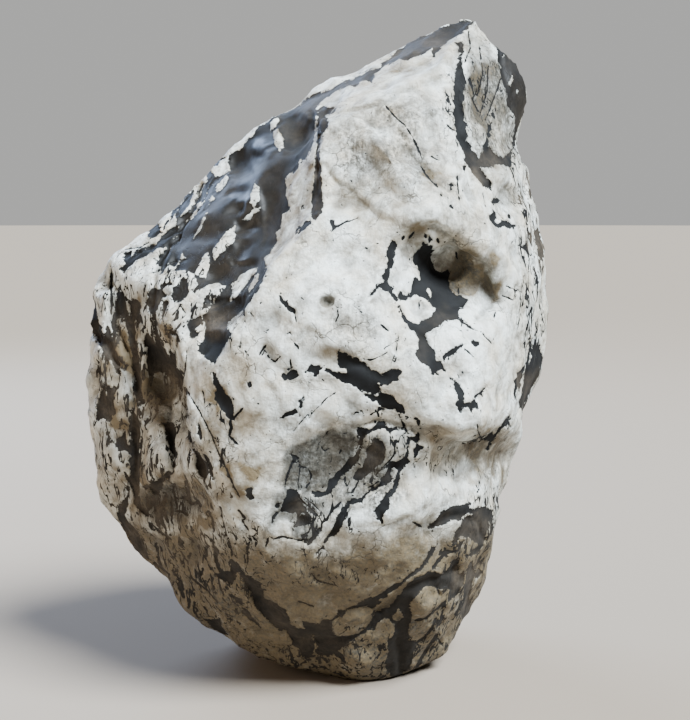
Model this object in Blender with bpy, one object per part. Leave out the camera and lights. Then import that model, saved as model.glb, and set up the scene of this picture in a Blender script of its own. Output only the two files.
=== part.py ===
"""Chrysanthemum stone: a boulder of black rock crowded with white crystal masses, one solid.

Run with: blender --background --python part.py

The stone stands on a small ground-flat patch, 0.35 m tall. Its form is laid out as corners in the way a
carver reads a block: a front elevation gives how far each corner is across and up, as an eye in front of the
stone sees it, and a third number gives how far back it really lies. The corners of the hidden back are plain
positions. A skin is stretched over all corners and softened, hollows are pressed into the front, scoops and
chips are taken off the back, the skin is made uneven, and the foot is ground flat.
"""

import math

import bmesh
import bpy
from mathutils import Vector, noise

MM = 0.001

# ---------------------------------------------------------------- driving dimensions, in millimetres
EYE_DISTANCE = 750.0  # from the eye to the elevation plane, which stands at the stone's middle
EYE_PITCH = math.radians(6.0)  # how far the eye looks down
EYE_AXIS = (15.1, 175.0)  # where the line of sight meets the elevation: across, up
AXIS_HEIGHT = 167.2  # height above the ground of that meeting point
HEART = Vector((5.0, 0.0, 165.0))  # inner point from which the skin is stretched
SKIN_LEVELS = 3  # subdivisions of the stretched skin before carving
SOFTENING = 9  # passes that round the skin's edges and corners
HOLLOW_SOFTENING = 2  # passes that soften the hollows' rims
FACET_SHARE = 0.2  # share of the carved skin's triangles kept as facets
FOOT_CUT = 0.8  # how much is ground off the foot to make it flat
FOOT_SNAP = 0.3  # corners this little above the cut are brought down to it, so that no sliver is left

# Corners seen from the front: (across, up, back), in mm. Back is the true position along +Y.
OUTLINE = [
    (88, 363, 12), (100, 351, 14), (114, 336, 16), (115, 313, 16), (108, 290, 14),
    (117, 270, 12), (120, 248, 10), (124, 216, 2), (125, 192, 0), (121, 170, 0),
    (113, 148, -6), (109, 130, -8), (99, 98, -6), (95, 68, -8), (84, 40, -12),
    (68, 16, -16), (-122, 115, -14), (-124, 145, -16), (-126, 185, -14), (-125, 213, -8),
    (-117, 226, -4), (-110, 228, -14), (-104, 236, -14), (-89, 250, -8), (-73, 264, -2),
    (-57, 284, 0), (-39, 300, 4), (-17, 314, 8), (10, 328, 12), (28, 335, 10),
    (38, 345, 10), (60, 355, 14), (-73, 38, -26), (-86, 57, -20), (-103, 74, -16),
    (-117, 96, -14), (-46, 21, -33), (-24, 12, -37),
]
TOP_LEDGE = [(1, 309, -46), (22, 312, -56), (45, 318, -58), (62, 326, -50), (74, 337, -34)]
CREST = [(20, 322, -18), (45, 335, -18), (62, 344, -10), (78, 347, -14), (83, 354, 0)]
BROW_EDGE = [
    (77, 318, -46), (78, 303, -53), (81, 284, -58), (91, 264, -60), (101, 242, -57),
    (108, 218, -50), (112, 195, -46), (112, 176, -44), (108, 158, -48), (104, 145, -50),
]
SPUR = [(91, 335, -16), (97, 314, -20), (100, 296, -20), (90, 300, -34)]
RIGHT_SIDE = [(113, 254, -24), (119, 225, -22), (120, 200, -22), (117, 170, -22)]
UPPER_FACE = [
    (14, 290, -64), (38, 298, -68), (60, 302, -62), (20, 270, -70), (42, 276, -74),
    (66, 280, -66), (4, 255, -76),
]
BROW = [(25, 250, -82), (44, 251, -87), (62, 252, -86), (79, 247, -79), (91, 236, -74)]
CHEEK = [
    (-12, 235, -86), (10, 227, -92), (32, 228, -88), (-22, 214, -96), (0, 206, -103),
    (22, 202, -102), (42, 206, -94), (62, 226, -86), (62, 200, -90), (82, 210, -80),
    (82, 188, -86), (100, 200, -64), (-36, 196, -96), (-12, 188, -105), (12, 182, -106),
    (36, 180, -101), (60, 176, -97), (84, 166, -87), (100, 164, -66),
]
LIP = [(20, 167, -103), (42, 158, -100), (56, 148, -99), (70, 140, -97), (82, 135, -90), (98, 141, -68)]
UNDERCUT = [(60, 132, -88), (76, 124, -76), (94, 119, -54)]
EYE = [
    (-12, 154, -101), (14, 150, -101), (36, 144, -99), (-10, 126, -97), (14, 124, -95),
    (38, 120, -94), (-14, 100, -96), (10, 102, -95),
]
LEFT_BROW = [(-42, 172, -99), (-26, 158, -103), (-32, 134, -103), (-32, 112, -101)]
LEFT_RIDGE = [
    (-54, 184, -91), (-48, 158, -98), (-42, 132, -101), (-37, 106, -101), (-30, 84, -96),
    (-22, 66, -88), (-10, 50, -78), (6, 36, -67),
]
CHIN_RIDGE = [(-8, 79, -92), (14, 86, -94), (36, 92, -92), (56, 95, -87), (76, 99, -72), (90, 100, -52)]
CHIN = [
    (34, 106, -90), (56, 110, -84), (80, 110, -66), (-10, 64, -86), (14, 62, -86), (36, 62, -83),
    (58, 70, -80), (76, 76, -66), (90, 76, -42), (4, 48, -76), (24, 42, -71), (22, 22, -54),
    (40, 22, -50), (8, 14, -46), (56, 44, -64), (76, 50, -48), (62, 22, -40), (-10, 26, -54),
]
CROWN_RIDGE = [
    (1, 290, -60), (2, 268, -71), (-2, 249, -80), (-14, 237, -87), (-24, 225, -92), (-33, 210, -97),
    (-46, 196, -97),
]
CROWN_FOOT = [(-9, 286, -38), (-17, 268, -46), (-21, 251, -54), (-29, 232, -62), (-38, 214, -70)]
SHOULDER = [(-106, 221, -30), (-93, 212, -46), (-86, 201, -56), (-80, 188, -66), (-72, 174, -78)]
DARK_FACE = [
    (-28, 290, -22), (-45, 270, -24), (-62, 252, -30), (-78, 238, -34), (-92, 230, -30),
    (-34, 262, -42), (-48, 239, -50), (-62, 222, -54), (-54, 204, -70),
]
LOBE = [
    (-120, 208, -24), (-121, 192, -27), (-121, 176, -29), (-119, 160, -30), (-117, 145, -30), (-114, 130, -29),
    (-111, 114, -28),
]
LOBE_GROOVE = [(-109, 212, -18), (-108, 190, -20), (-106, 165, -24), (-102, 140, -30), (-98, 115, -36)]
LEFT_FACE = [
    (-97, 194, -34), (-90, 180, -38), (-86, 162, -42), (-76, 158, -56), (-92, 142, -42), (-78, 138, -56),
    (-67, 156, -88), (-62, 134, -93), (-56, 112, -95), (-87, 116, -56), (-72, 108, -68), (-92, 92, -42),
    (-74, 86, -55), (-48, 90, -91), (-56, 74, -72), (-37, 68, -85), (-66, 58, -48),
    (-46, 46, -60), (-26, 36, -60),
]
FRONT_CORNERS = (
    OUTLINE + TOP_LEDGE + CREST + BROW_EDGE + SPUR + RIGHT_SIDE + UPPER_FACE + BROW + CHEEK + LIP
    + UNDERCUT + EYE + LEFT_BROW + LEFT_RIDGE + CHIN_RIDGE + CHIN + CROWN_RIDGE + CROWN_FOOT + SHOULDER
    + DARK_FACE + LOBE + LOBE_GROOVE + LEFT_FACE
)

# Hollows pressed in along the line of sight: (across, up, half width, half height, turn in degrees, depth).
HOLLOWS = {
    "cavity": (77, 225, 25, 18, -35, 9),
    "cavity_mouth": (71, 222, 38, 29, -33, 16),
    "cavity_apron": (44, 208, 28, 20, -20, 4),
    "eye": (14, 120, 33, 42, -24, 5),
    "under_lip": (84, 121, 30, 17, 4, 11),
    "chin_hollow": (60, 76, 32, 18, 14, 5),
    "upper_scoop": (18, 268, 32, 26, -25, 3.5),
    "upper_right_scoop": (54, 290, 26, 22, -30, 4.5),
    "upper_left_scoop": (28, 302, 26, 14, 10, 3.5),
    "apex_scoop": (90, 312, 11, 28, 8, 6),
    "right_scoop": (103, 262, 11, 13, 0, 6),
    "dark_pit_high": (-42, 280, 17, 12, 25, 6),
    "dark_trough": (-12, 296, 11, 16, -12, 7),
    "dark_slope": (-27, 252, 14, 30, -14, 2),
    "dark_steps": (-42, 250, 12, 15, 10, 4),
    "dark_pit_low": (-54, 220, 14, 8, 20, 5),
    "dark_shelf": (-48, 198, 16, 8, 25, 4),
    "dark_left": (-72, 240, 13, 10, 35, 3),
    "left_trough": (-80, 160, 13, 34, 12, 7),
    "left_basin": (-82, 100, 18, 11, 15, 7),
    "left_low": (-62, 72, 16, 12, -20, 4),
    "nose_dent": (-22, 196, 14, 10, 0, 3),
    "right_waist": (106, 122, 12, 18, 0, 3),
}
CRISP = ("cavity_mouth", "under_lip", "left_basin", "dark_shelf")
CRISP_RIM, SOFT_RIM = 1.4, 2.2  # how fast a hollow's wall rises to its rim
RAGGED = (26.0, 0.24)  # grain in mm and share of a hollow's size by which its outline wanders
WANDER_SEED = 1795468735  # picks the wander of the hollows' rims, the same one each time

# Flats chipped off: the way each faces (x, y, z), and how far it cuts below the stone's reach that way, in mm.
CHIPS = [
    ((0.15, 1.0, 0.28), 7), ((-0.5, 0.88, 0.12), 10), ((0.68, 0.75, 0.1), 9), ((0.1, 0.9, -0.42), 9),
    ((-0.62, 0.6, -0.45), 12), ((0.7, 0.6, -0.42), 10), ((0.5, 0.7, 0.55), 13), ((-0.35, 0.72, 0.62), 11),
    ((-0.2, 0.97, -0.12), 6), ((-0.15, 0.85, 0.6), 8), ((0.35, 0.92, -0.1), 6),
]
# Scoops knocked out of the back, towards the heart: (x, y, z, radius, depth), in mm.
SCOOPS = {
    "back_high": (60, 85, 258, 34, 8),
    "back_mid": (-30, 105, 150, 40, 9),
    "back_low": (45, 105, 95, 36, 8),
    "back_left": (-95, 60, 175, 30, 7),
    "right_mid": (112, 40, 185, 30, 7),
    "right_low": (98, 35, 95, 26, 6),
}
ROUGHNESS = ((40.0, 2.8), (18.0, 1.4))  # (grain, height) of the uneven skin, in mm
STEADY_FOOT = 14.0  # height over which the unevenness fades in above the ground

# Corners of the foot and of the hidden back: (x, y, z), in mm.
FOOT = [
    (24, -38, 0), (42, -33, 0), (10, -31, 0), (56, -14, 0), (64, 20, 0), (54, 58, 0), (8, 72, 0),
    (-32, 62, 0), (-42, 38, 0), (-20, 10, 0),
]
BACK = [
    (84, 52, 322), (50, 58, 300), (100, 50, 285), (10, 66, 276), (-30, 62, 244), (-72, 46, 222),
    (-100, 40, 190), (108, 64, 225), (60, 92, 230), (10, 100, 205), (-42, 94, 180), (-90, 72, 150),
    (-116, 36, 130), (114, 56, 160), (78, 98, 150), (20, 112, 130), (-36, 106, 110), (-84, 80, 90),
    (-104, 40, 78), (104, 56, 90), (74, 92, 80), (16, 106, 62), (-38, 92, 50), (-76, 56, 40),
    (88, 50, 36), (66, 76, 26), (10, 90, 22), (-42, 72, 18), (-64, 30, 22), (90, 14, 40),
]


def from_front(across, up, back):
    """The point on the eye's line of sight through (across, up) of the elevation that lies at +Y = back."""
    sin_pitch, cos_pitch = math.sin(EYE_PITCH), math.cos(EYE_PITCH)
    right = across - EYE_AXIS[0]
    rise = up - EYE_AXIS[1]
    along = (back - rise * sin_pitch) / (cos_pitch + rise * sin_pitch / EYE_DISTANCE)
    spread = 1.0 + along / EYE_DISTANCE
    return Vector((
        EYE_AXIS[0] + right * spread,
        back,
        AXIS_HEIGHT + rise * spread * cos_pitch - along * sin_pitch,
    ))


def stretched_skin():
    """A closed skin of flat triangles whose corners are the stone's corners."""
    corners = [from_front(*c) for c in FRONT_CORNERS] + [Vector(c) for c in FOOT + BACK]
    bm = bmesh.new()
    home = {}
    for corner in corners:
        vert = bm.verts.new((corner - HEART).normalized())
        home[vert] = corner
    bmesh.ops.convex_hull(bm, input=bm.verts)
    for vert in bm.verts:
        vert.co = home[vert] * MM
    bmesh.ops.recalc_face_normals(bm, faces=bm.faces)
    return bm


def seen_from_front(point):
    """(across, up) of a point, in mm, as the eye sees it on the elevation: the reverse of from_front."""
    sin_pitch, cos_pitch = math.sin(EYE_PITCH), math.cos(EYE_PITCH)
    right = point.x / MM - EYE_AXIS[0]
    rise = point.z / MM - AXIS_HEIGHT
    back = point.y / MM
    along = back * cos_pitch - rise * sin_pitch
    lift = back * sin_pitch + rise * cos_pitch
    spread = 1.0 + along / EYE_DISTANCE
    return Vector((EYE_AXIS[0] + right / spread, EYE_AXIS[1] + lift / spread))


def eye_position():
    """Where the eye is, in metres."""
    return Vector((
        EYE_AXIS[0],
        -EYE_DISTANCE * math.cos(EYE_PITCH),
        AXIS_HEIGHT + EYE_DISTANCE * math.sin(EYE_PITCH),
    )) * MM


def bowl(offset, half_width, half_height, turn, rim):
    """1 at the middle of a turned ellipse and 0 outside it, with a rounded floor; a larger rim is softer."""
    angle = math.radians(turn)
    along = (offset.x * math.cos(angle) + offset.y * math.sin(angle)) / half_width
    across = (-offset.x * math.sin(angle) + offset.y * math.cos(angle)) / half_height
    reach = along * along + across * across
    return (1.0 - reach) ** rim if reach < 1.0 else 0.0


def press_hollows(bm):
    """Presses the front's hollows in, away from the eye."""
    eye = eye_position()
    bm.normal_update()
    noise.seed_set(WANDER_SEED)
    moves = {}
    for vert in bm.verts:
        sight = (vert.co - eye).normalized()
        facing = -vert.normal.dot(sight)
        if facing < -0.1:
            continue
        fade = min(1.0, (facing + 0.1) / 0.3)
        spot = seen_from_front(vert.co)
        grain, wander = RAGGED
        drift = noise.noise_vector(vert.co / (grain * MM), noise_basis="PERLIN_NEW") * wander
        inward = (sight - vert.normal).normalized()
        press = sum(
            depth * bowl(
                spot - Vector((across + drift.x * half_width, up + drift.z * half_height)),
                half_width, half_height, turn, CRISP_RIM if name in CRISP else SOFT_RIM,
            )
            for name, (across, up, half_width, half_height, turn, depth) in HOLLOWS.items()
        )
        moves[vert] = inward * (press * fade * MM)
    for vert, move in moves.items():
        vert.co += move
    for _ in range(HOLLOW_SOFTENING):
        bmesh.ops.smooth_vert(bm, verts=bm.verts, factor=0.5, use_axis_x=True, use_axis_y=True, use_axis_z=True)


def knock_scoops(bm):
    """Presses round scoops into the back, towards the heart."""
    heart = HEART * MM
    for x, y, z, radius, depth in SCOOPS.values():
        middle = Vector((x, y, z)) * MM
        inward = (heart - middle).normalized()
        for vert in bm.verts:
            reach = (vert.co - middle).length_squared / (radius * MM) ** 2
            if reach < 1.0:
                vert.co += inward * (depth * MM * (1.0 - reach) ** 2)


def chip_flats(bm):
    """Planes the skin flat where a chip has split off."""
    for facing, cut in CHIPS:
        facing = Vector(facing).normalized()
        limit = max(vert.co.dot(facing) for vert in bm.verts) - cut * MM
        for vert in bm.verts:
            over = vert.co.dot(facing) - limit
            if over > 0.0:
                vert.co -= facing * over


def roughen(bm):
    """Makes the skin uneven along its normals."""
    bm.normal_update()
    moves = {}
    for vert in bm.verts:
        height = sum(
            tall * noise.noise(vert.co / (grain * MM), noise_basis="PERLIN_NEW")
            for grain, tall in ROUGHNESS
        )
        steady = min(1.0, vert.co.z / (STEADY_FOOT * MM))
        moves[vert] = vert.normal * (height * steady * MM)
    for vert, move in moves.items():
        vert.co += move


def grind_foot(bm):
    """Flattens the foot a little above the lowest point and stands the stone on it, its box centred."""
    for vert in bm.verts:
        if vert.co.z < (FOOT_CUT + FOOT_SNAP) * MM:
            vert.co.z = FOOT_CUT * MM
    low = Vector([min(vert.co[axis] for vert in bm.verts) for axis in range(3)])
    high = Vector([max(vert.co[axis] for vert in bm.verts) for axis in range(3)])
    middle = Vector(((low.x + high.x) / 2, (low.y + high.y) / 2, low.z))
    bmesh.ops.translate(bm, verts=bm.verts, vec=-middle)
    print("box", [round(v / MM, 1) for v in high - low], "moved by", [round(-v / MM, 2) for v in middle])


def as_object(bm, name):
    """A new object of the scene that holds the bmesh, which is freed."""
    mesh = bpy.data.meshes.new(name)
    bm.to_mesh(mesh)
    bm.free()
    obj = bpy.data.objects.new(name, mesh)
    bpy.context.scene.collection.objects.link(obj)
    return obj


def stone_material():
    """Pale crystal rock: a chalky grey white."""
    material = bpy.data.materials.new("crystal_rock")
    material.use_nodes = True
    surface = material.node_tree.nodes["Principled BSDF"]
    surface.inputs["Base Color"].default_value = (0.55, 0.53, 0.47, 1.0)
    surface.inputs["Roughness"].default_value = 0.75
    surface.inputs["Metallic"].default_value = 0.0
    return material


def evaluated(obj):
    """The object's mesh with its modifiers applied, as a new bmesh; the object is removed."""
    graph = bpy.context.evaluated_depsgraph_get()
    bm = bmesh.new()
    bm.from_mesh(obj.evaluated_get(graph).to_mesh())
    bpy.data.objects.remove(obj)
    return bm


def softened(bm):
    """The skin split finely, with its edges softened."""
    skin = as_object(bm, "skin")
    split = skin.modifiers.new("split", "SUBSURF")
    split.subdivision_type = "SIMPLE"
    split.levels = split.render_levels = SKIN_LEVELS
    soften = skin.modifiers.new("soften", "SMOOTH")
    soften.factor = 0.5
    soften.iterations = SOFTENING
    return evaluated(skin)


def faceted(bm):
    """The carved skin with its flat stretches gathered into fewer, larger facets."""
    carved = as_object(bm, "carved")
    thin = carved.modifiers.new("facets", "DECIMATE")
    thin.ratio = FACET_SHARE
    return evaluated(carved)


def main():
    for obj in list(bpy.data.objects):
        bpy.data.objects.remove(obj)
    bm = softened(stretched_skin())
    press_hollows(bm)
    knock_scoops(bm)
    chip_flats(bm)
    roughen(bm)
    bm = faceted(bm)
    grind_foot(bm)
    stone = as_object(bm, "chrysanthemum_stone")
    stone.data.materials.append(stone_material())


main()
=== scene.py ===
# %% [markdown]
# # A chrysanthemum stone
# The stone is one broken block of rock in which white crystals grew through black mud. Most of its
# front is a massive white crystal, veined and patched with the black rock around it; its left and lower
# sides show the crystals as long pale blades in the dark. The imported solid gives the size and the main
# forms, and everything here is laid over it in the same frame.

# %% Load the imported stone
import math
import bmesh
import bpy
import numpy as np
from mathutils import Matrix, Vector, noise


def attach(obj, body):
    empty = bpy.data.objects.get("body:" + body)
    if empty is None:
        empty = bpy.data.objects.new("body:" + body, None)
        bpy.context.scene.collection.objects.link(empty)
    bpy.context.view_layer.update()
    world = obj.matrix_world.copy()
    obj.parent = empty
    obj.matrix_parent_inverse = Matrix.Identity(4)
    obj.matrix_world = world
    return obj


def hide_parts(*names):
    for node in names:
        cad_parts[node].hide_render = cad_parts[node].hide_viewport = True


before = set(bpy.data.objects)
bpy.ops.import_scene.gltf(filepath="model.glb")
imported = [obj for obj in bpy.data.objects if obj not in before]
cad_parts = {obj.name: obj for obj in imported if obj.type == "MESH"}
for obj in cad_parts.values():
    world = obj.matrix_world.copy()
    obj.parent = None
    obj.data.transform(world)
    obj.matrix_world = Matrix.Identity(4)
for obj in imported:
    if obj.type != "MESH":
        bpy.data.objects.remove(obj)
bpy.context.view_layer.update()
MM = 0.001
STONE = "chrysanthemum_stone"
noise.seed_set(11)  # the wander of the hidden sides is the same in every run

# %% [markdown]
# ## The eye
# The markings on the front are drawn as on an elevation: millimetres across and up, as one eye sees
# them from 0.75 m away, looking 6 degrees down. The same eye is the camera, so that the drawing and the
# render agree. Drawn square on, the markings would shift against the forms where the stone bulges.

# %% Camera
EYE_DISTANCE = 750.0  # mm from the eye to the elevation plane at the stone's middle
EYE_PITCH = math.radians(6.0)
EYE_AXIS = (15.1, 175.0)  # where the line of sight meets the elevation: across, up
AXIS_HEIGHT = 167.2  # height above the ground of that point
STONE_MOVED = (-1.00, -2.75, -0.80)  # the elevation's frame was moved by this onto the solid's, in mm
ELEVATION_HEIGHT = 388.8  # mm of the elevation that the render's height takes in
SENSOR = 36.0

eye = Vector((
    EYE_AXIS[0] + STONE_MOVED[0],
    -EYE_DISTANCE * math.cos(EYE_PITCH) + STONE_MOVED[1],
    AXIS_HEIGHT + EYE_DISTANCE * math.sin(EYE_PITCH) + STONE_MOVED[2],
)) * MM
camera = bpy.data.objects.new("camera", bpy.data.cameras.new("camera"))
bpy.context.scene.collection.objects.link(camera)
camera.location = eye
camera.rotation_euler = (math.pi / 2 - EYE_PITCH, 0.0, 0.0)
camera.data.sensor_width = SENSOR
camera.data.lens = SENSOR * EYE_DISTANCE / ELEVATION_HEIGHT
bpy.context.scene.camera = camera


def seen_from_front(points):
    """(across, up) in mm on the elevation of points given in metres, as the eye sees them."""
    local = points / MM - np.array(STONE_MOVED)
    right = local[:, 0] - EYE_AXIS[0]
    rise = local[:, 2] - AXIS_HEIGHT
    along = local[:, 1] * math.cos(EYE_PITCH) - rise * math.sin(EYE_PITCH)
    lift = local[:, 1] * math.sin(EYE_PITCH) + rise * math.cos(EYE_PITCH)
    spread = 1.0 + along / EYE_DISTANCE
    return np.column_stack((EYE_AXIS[0] + right / spread, EYE_AXIS[1] + lift / spread))


print("lens, mm:", round(camera.data.lens, 2), "eye, mm:", [round(v / MM, 1) for v in eye])

# %% [markdown]
# ## Black rock in the white crystal
# Where the black rock shows is only colour and a shallow step, so it is drawn as closed outlines on the
# elevation. Each is a list of corners, across and up in mm, because broken rock has straight, angular
# edges. A noise could place such patches too, but not the same ones on the same forms. The largest fills
# the bottom of the bowl and runs down out of it.

# %% Black patches around the bowl
BLACK_IN_BOWL = [
    [(57.8,239.5), (58.6,237), (60.4,236.4), (61.4,238), (62,235.4), (64,233.8), (62.4,233), (61.6,231),
    (62.2,228), (63,225.4), (63.6,223.6), (66.4,222.2), (68.8,222.4), (70.4,223.6), (71.8,221.6), (71,219.4),
    (69.8,218.2), (70.2,216), (71.4,213.4), (73.6,211.6), (75.4,209.2), (78,209.6), (79,208.2), (81.4,207.4),
    (80,205.4), (79,203.4), (77,202.6), (75.4,200.4), (75.8,198.6), (77.6,197), (80.4,195.4), (83,193.6),
    (86.2,190.8), (83,192.2), (80,194.6), (77.6,196), (75.6,197), (73,196.8), (70.6,197.2), (69,196.4),
    (67,195), (65.6,193.2), (64,192), (61.4,190.6), (57.6,188.6), (59,186.6), (60.4,183.4), (62.4,180.8),
    (64.6,178.8), (63.8,177.8), (64.4,176.4), (64,175.2), (65,174.2), (66.4,174.6), (67.4,172.8),
    (69.8,168.6), (66.6,169.8), (65.6,170), (64.8,168.6), (65.4,167), (64.2,167.6), (63.4,165.6),
    (62.4,167.6), (61.4,169.8), (60.4,171.6), (56.4,174.4), (54.2,176.4), (53.4,178.6), (54.8,181.2),
    (54.2,183.4), (55,186), (54.2,188), (52,190), (50,191.8), (48.6,194), (46.6,197), (45.4,199.6),
    (43.4,204.2), (44.2,204.4), (45.6,202), (47,199), (49,196.4), (51.6,194.8), (54.6,194.6), (58,196),
    (61,198.2), (62.6,200.8), (64.4,202.8), (60.8,205.2), (58.4,208.2), (55.6,210.2), (53,210.8),
    (47.6,207.6), (45,207.2), (44.4,209), (44.8,212.4), (46,212), (46.6,210), (49.2,210.4), (51.2,212),
    (51.6,216), (52,219.4), (53.2,219.6), (54,217.6), (55.6,218.2), (55.8,221), (55.2,224.6), (54.4,226.2),
    (51.6,227), (51.2,228.6), (52.6,231), (54.6,233.6), (56.6,236.6)],
    [(41,240), (42.4,238.4), (42.2,234.6), (41.8,231), (41,229.8), (40.4,227.4), (39.6,225.6), (38.4,224.4),
    (38.6,222), (38,219.4), (37.8,216.4), (39.8,214.4), (41.6,214.2), (41.2,212.6), (42.4,209.8),
    (43.4,207.6), (43,206.8), (41.4,208.4), (40,210.6), (38.6,212.8), (36.4,212.6), (34.6,213.8),
    (31.6,211.8), (28,209), (29,212), (31.6,213.6), (32.6,215.6), (34.4,215.6), (35.6,216.6), (35,219.6),
    (36.2,222), (37.6,226), (38.8,229.6), (37.8,233.6), (38.2,236), (39.6,238.4)],
    [(46,241), (47.4,242.4), (47.8,240.6), (47,238.8), (46,239.4)],
    [(58.4,242.8), (59.4,242), (59.2,240), (58.2,240.8)],
    [(60.8,242.4), (61.6,241), (60.8,238.8), (60,240.6)],
    [(92.8,253.4), (94.6,254), (95.6,257), (96.4,255), (96.6,251.6), (96.8,249), (98.6,248.4), (100.6,250.6),
    (103,250), (104.8,248), (105.6,246.2), (107.6,247), (108.2,248), (106.6,248.2), (104.4,246.2),
    (102.8,246.4), (101,247.6), (98.6,246.8), (96.6,246.2), (95.6,247), (94.6,249.6), (93,251.6)],
    [(95,260.2), (96,262.6), (98.6,261.6), (97.8,260), (96,259.4)],
    [(108,237), (111.6,236.6), (113.2,235), (115,232), (111.6,234), (109.6,236)],
    [(68.4,175), (68.6,176.6), (70,179), (72,181), (76,182.6), (77.4,183.6), (78.6,183.4), (77.8,182),
    (76.2,180.2), (74,178.6), (71.6,177), (70,175.6), (69,174)],
    [(83.4,185.2), (85.6,185.4), (87.8,184.8), (86.8,183), (85.4,182.6), (84,184)],
    [(71.6,166.8), (73,165), (74.6,163.2), (76,162), (77.4,160.6), (78.6,158.6), (79.2,156.4), (79.6,151.8),
    (81,151.6), (82.8,152), (84,153.6), (85.4,154), (86.4,152.4), (87,150.6), (86.4,149), (84.6,149.6),
    (83.4,149), (84.4,145.8), (83.2,146), (82.4,148), (81.4,149.4), (79.6,149.2), (78.4,148.4), (77.6,146.2),
    (76.2,145.6), (76.4,149.6), (74.6,150.8), (76.6,153.6), (76,155.6), (74.8,158.4), (73.4,160.6),
    (74.2,162.4)],
    [(82,130.2), (84,131.2), (87,133), (91,133.8), (93.6,135.8), (94.6,136.6), (95.4,134), (97,136),
    (99.4,138.8), (101.2,141.4), (102.4,142.6), (103.4,144.6), (104,143.4), (103.8,141.2), (105,139.8),
    (104.6,138.6), (103.2,140.2), (102.6,138.6), (101.8,140), (99.4,137), (97.4,134.6), (96,132.4),
    (94.4,130.6), (92.2,126.4), (91.4,127), (93,131.4), (91.6,132.6), (88,132), (85,130.4)],
    [(114.4,187), (116,187), (115.4,182), (115,178), (114.4,175.4), (113,172), (111,169), (110.2,165.6),
    (109.4,160), (108,161), (107.6,158.8), (107.4,153), (106.4,153.6), (107,159.6), (106.8,162.4),
    (108,167.4), (110,169.4), (112.4,172.4), (113.6,176.4), (114.4,181)],
    [(115.4,178.6), (116.2,181), (118,182.6), (119.8,183.4), (120,180.8), (120.6,178.4), (121.8,176.6),
    (121.6,174.8), (120.4,173.6), (119.2,174.4), (119.4,176.6), (118.6,178.6), (117.4,178.4), (116.4,176.6)],
]
WHITE_IN_BOWL = [
    [(59.6,214.4), (60.8,214.6), (62,213), (62.6,210.6), (62,209), (60.6,208.6), (59.6,210), (59.2,212)],
]
print("around the bowl:", len(BLACK_IN_BOWL), "black outlines")

# %% [markdown]
# ## The black bar
# Under the bowl a bar of black rock crosses the front, with blots beside it. The white sliver in it is
# cut back afterwards.

# %% The black bar and the blots beside it
BLACK_IN_BAR = [
    [(10.8,179.2), (12.4,179.4), (13.6,178.2), (15.4,179.4), (16.6,178), (17.6,177.8), (19.4,176),
    (20.4,176.6), (21.6,174.8), (23.4,174.6), (24.6,173.2), (26.4,171.4), (28.2,170.6), (29.4,169.4),
    (31.2,169), (32.4,168), (33.4,168.2), (34,167), (35.8,167), (37.6,168.6), (39.4,169.8), (41.4,170.4),
    (43.4,169.8), (44.6,168.6), (44.8,167), (43.8,165.4), (42.4,164), (40.6,162.8), (38.6,161.6), (35,161.4),
    (33.6,162.2), (33,161.2), (34.2,158.8), (36,157.4), (40.4,155.4), (42.4,153.6), (43.6,151.8), (45.4,151),
    (46.8,149.6), (47.8,148), (47.2,146.4), (45.2,146.2), (43.4,147), (41.6,148.2), (39,148.8), (36.4,149.4),
    (34,150.6), (31.6,152.6), (30,152.2), (28.2,154), (26.4,155), (24.6,157), (22.4,158.6), (20,160.2),
    (17,161.6), (14.4,162.8), (11.4,164.2), (9.4,165.4), (7.6,167), (4,169.2), (4.6,170.2), (7,170),
    (8.6,169), (12.6,168.2), (15,168), (16.4,168.4), (15,170), (13,171), (11.6,172.4), (10.8,174.6),
    (11.2,176.6)],
    [(-19.2,166), (-18.4,167.6), (-16,168), (-14.8,169.4), (-14,170), (-12.4,170.2), (-11,169.4),
    (-10.2,167.6), (-10,166.2), (-10.8,164.8), (-12.4,163.6), (-14.2,163), (-15.4,163.8), (-17.4,164.2),
    (-18.8,165)],
    [(-7.2,167.4), (-6.2,169.2), (-5,170.2), (-4.6,171.8), (-3.2,172.6), (-2.4,172), (-0.6,171.8),
    (0.8,171.6), (0,170.6), (2.4,170.8), (2,169.8), (0.4,169.6), (0.8,168.2), (-0.2,167), (-1.4,165.8),
    (-2.2,165.8), (-2.4,167.4), (-3.6,168.2), (-5,168.4), (-6.4,167.2)],
    [(-7.2,156.4), (-6.8,154.6), (-7.4,152.6), (-8.2,150.6), (-8.8,148.8), (-9.6,149.6), (-9.4,151.6),
    (-10.2,152.8), (-9.2,153.2), (-8.4,154.6)],
    [(-11,148), (-13,148.3), (-15,147.6), (-16.6,146.2), (-18,144.2), (-20,143.2), (-19.8,142.6), (-18,143),
    (-16.6,144.4), (-14.6,144.8), (-12.6,145.6), (-11.2,146.8)],
    [(-57.7,169.5), (-55.9,167.4), (-51.6,160.2), (-47.3,153.7), (-45,149.4), (-45,143), (-47.3,142.3),
    (-50.2,145.9), (-53,151), (-55.9,154.5), (-54.5,158.8), (-55.9,164.5)],
    [(-37,163), (-35.5,163), (-35,160.5), (-36.5,160.5)],
    [(7.5,250), (9.5,250), (9.8,246.5), (8,243.5), (7,244.5), (8.5,247)],
    [(-20,210.5), (-18.5,208.5), (-15,204.5), (-12,201.5), (-12.5,199.5), (-17,204), (-19.5,207)],
    [(0,309.5), (3,311.4), (10.5,311), (9,308.5), (3,307.5), (6.3,304), (3.5,299), (1.4,295.5), (0.7,286.3),
    (2.4,274.3), (2.8,254), (1.5,253), (-1,249.5), (-3,252), (-2.8,262), (-0.7,281.4), (0.7,298.3),
    (0,305.4)],
    [(-12,243.5), (-9,247), (-4,250.5), (-3,249), (-7,245.5), (-10,243.8)],
    [(-8.5,256.5), (-7.5,259.5), (-7,257)],
]
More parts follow.
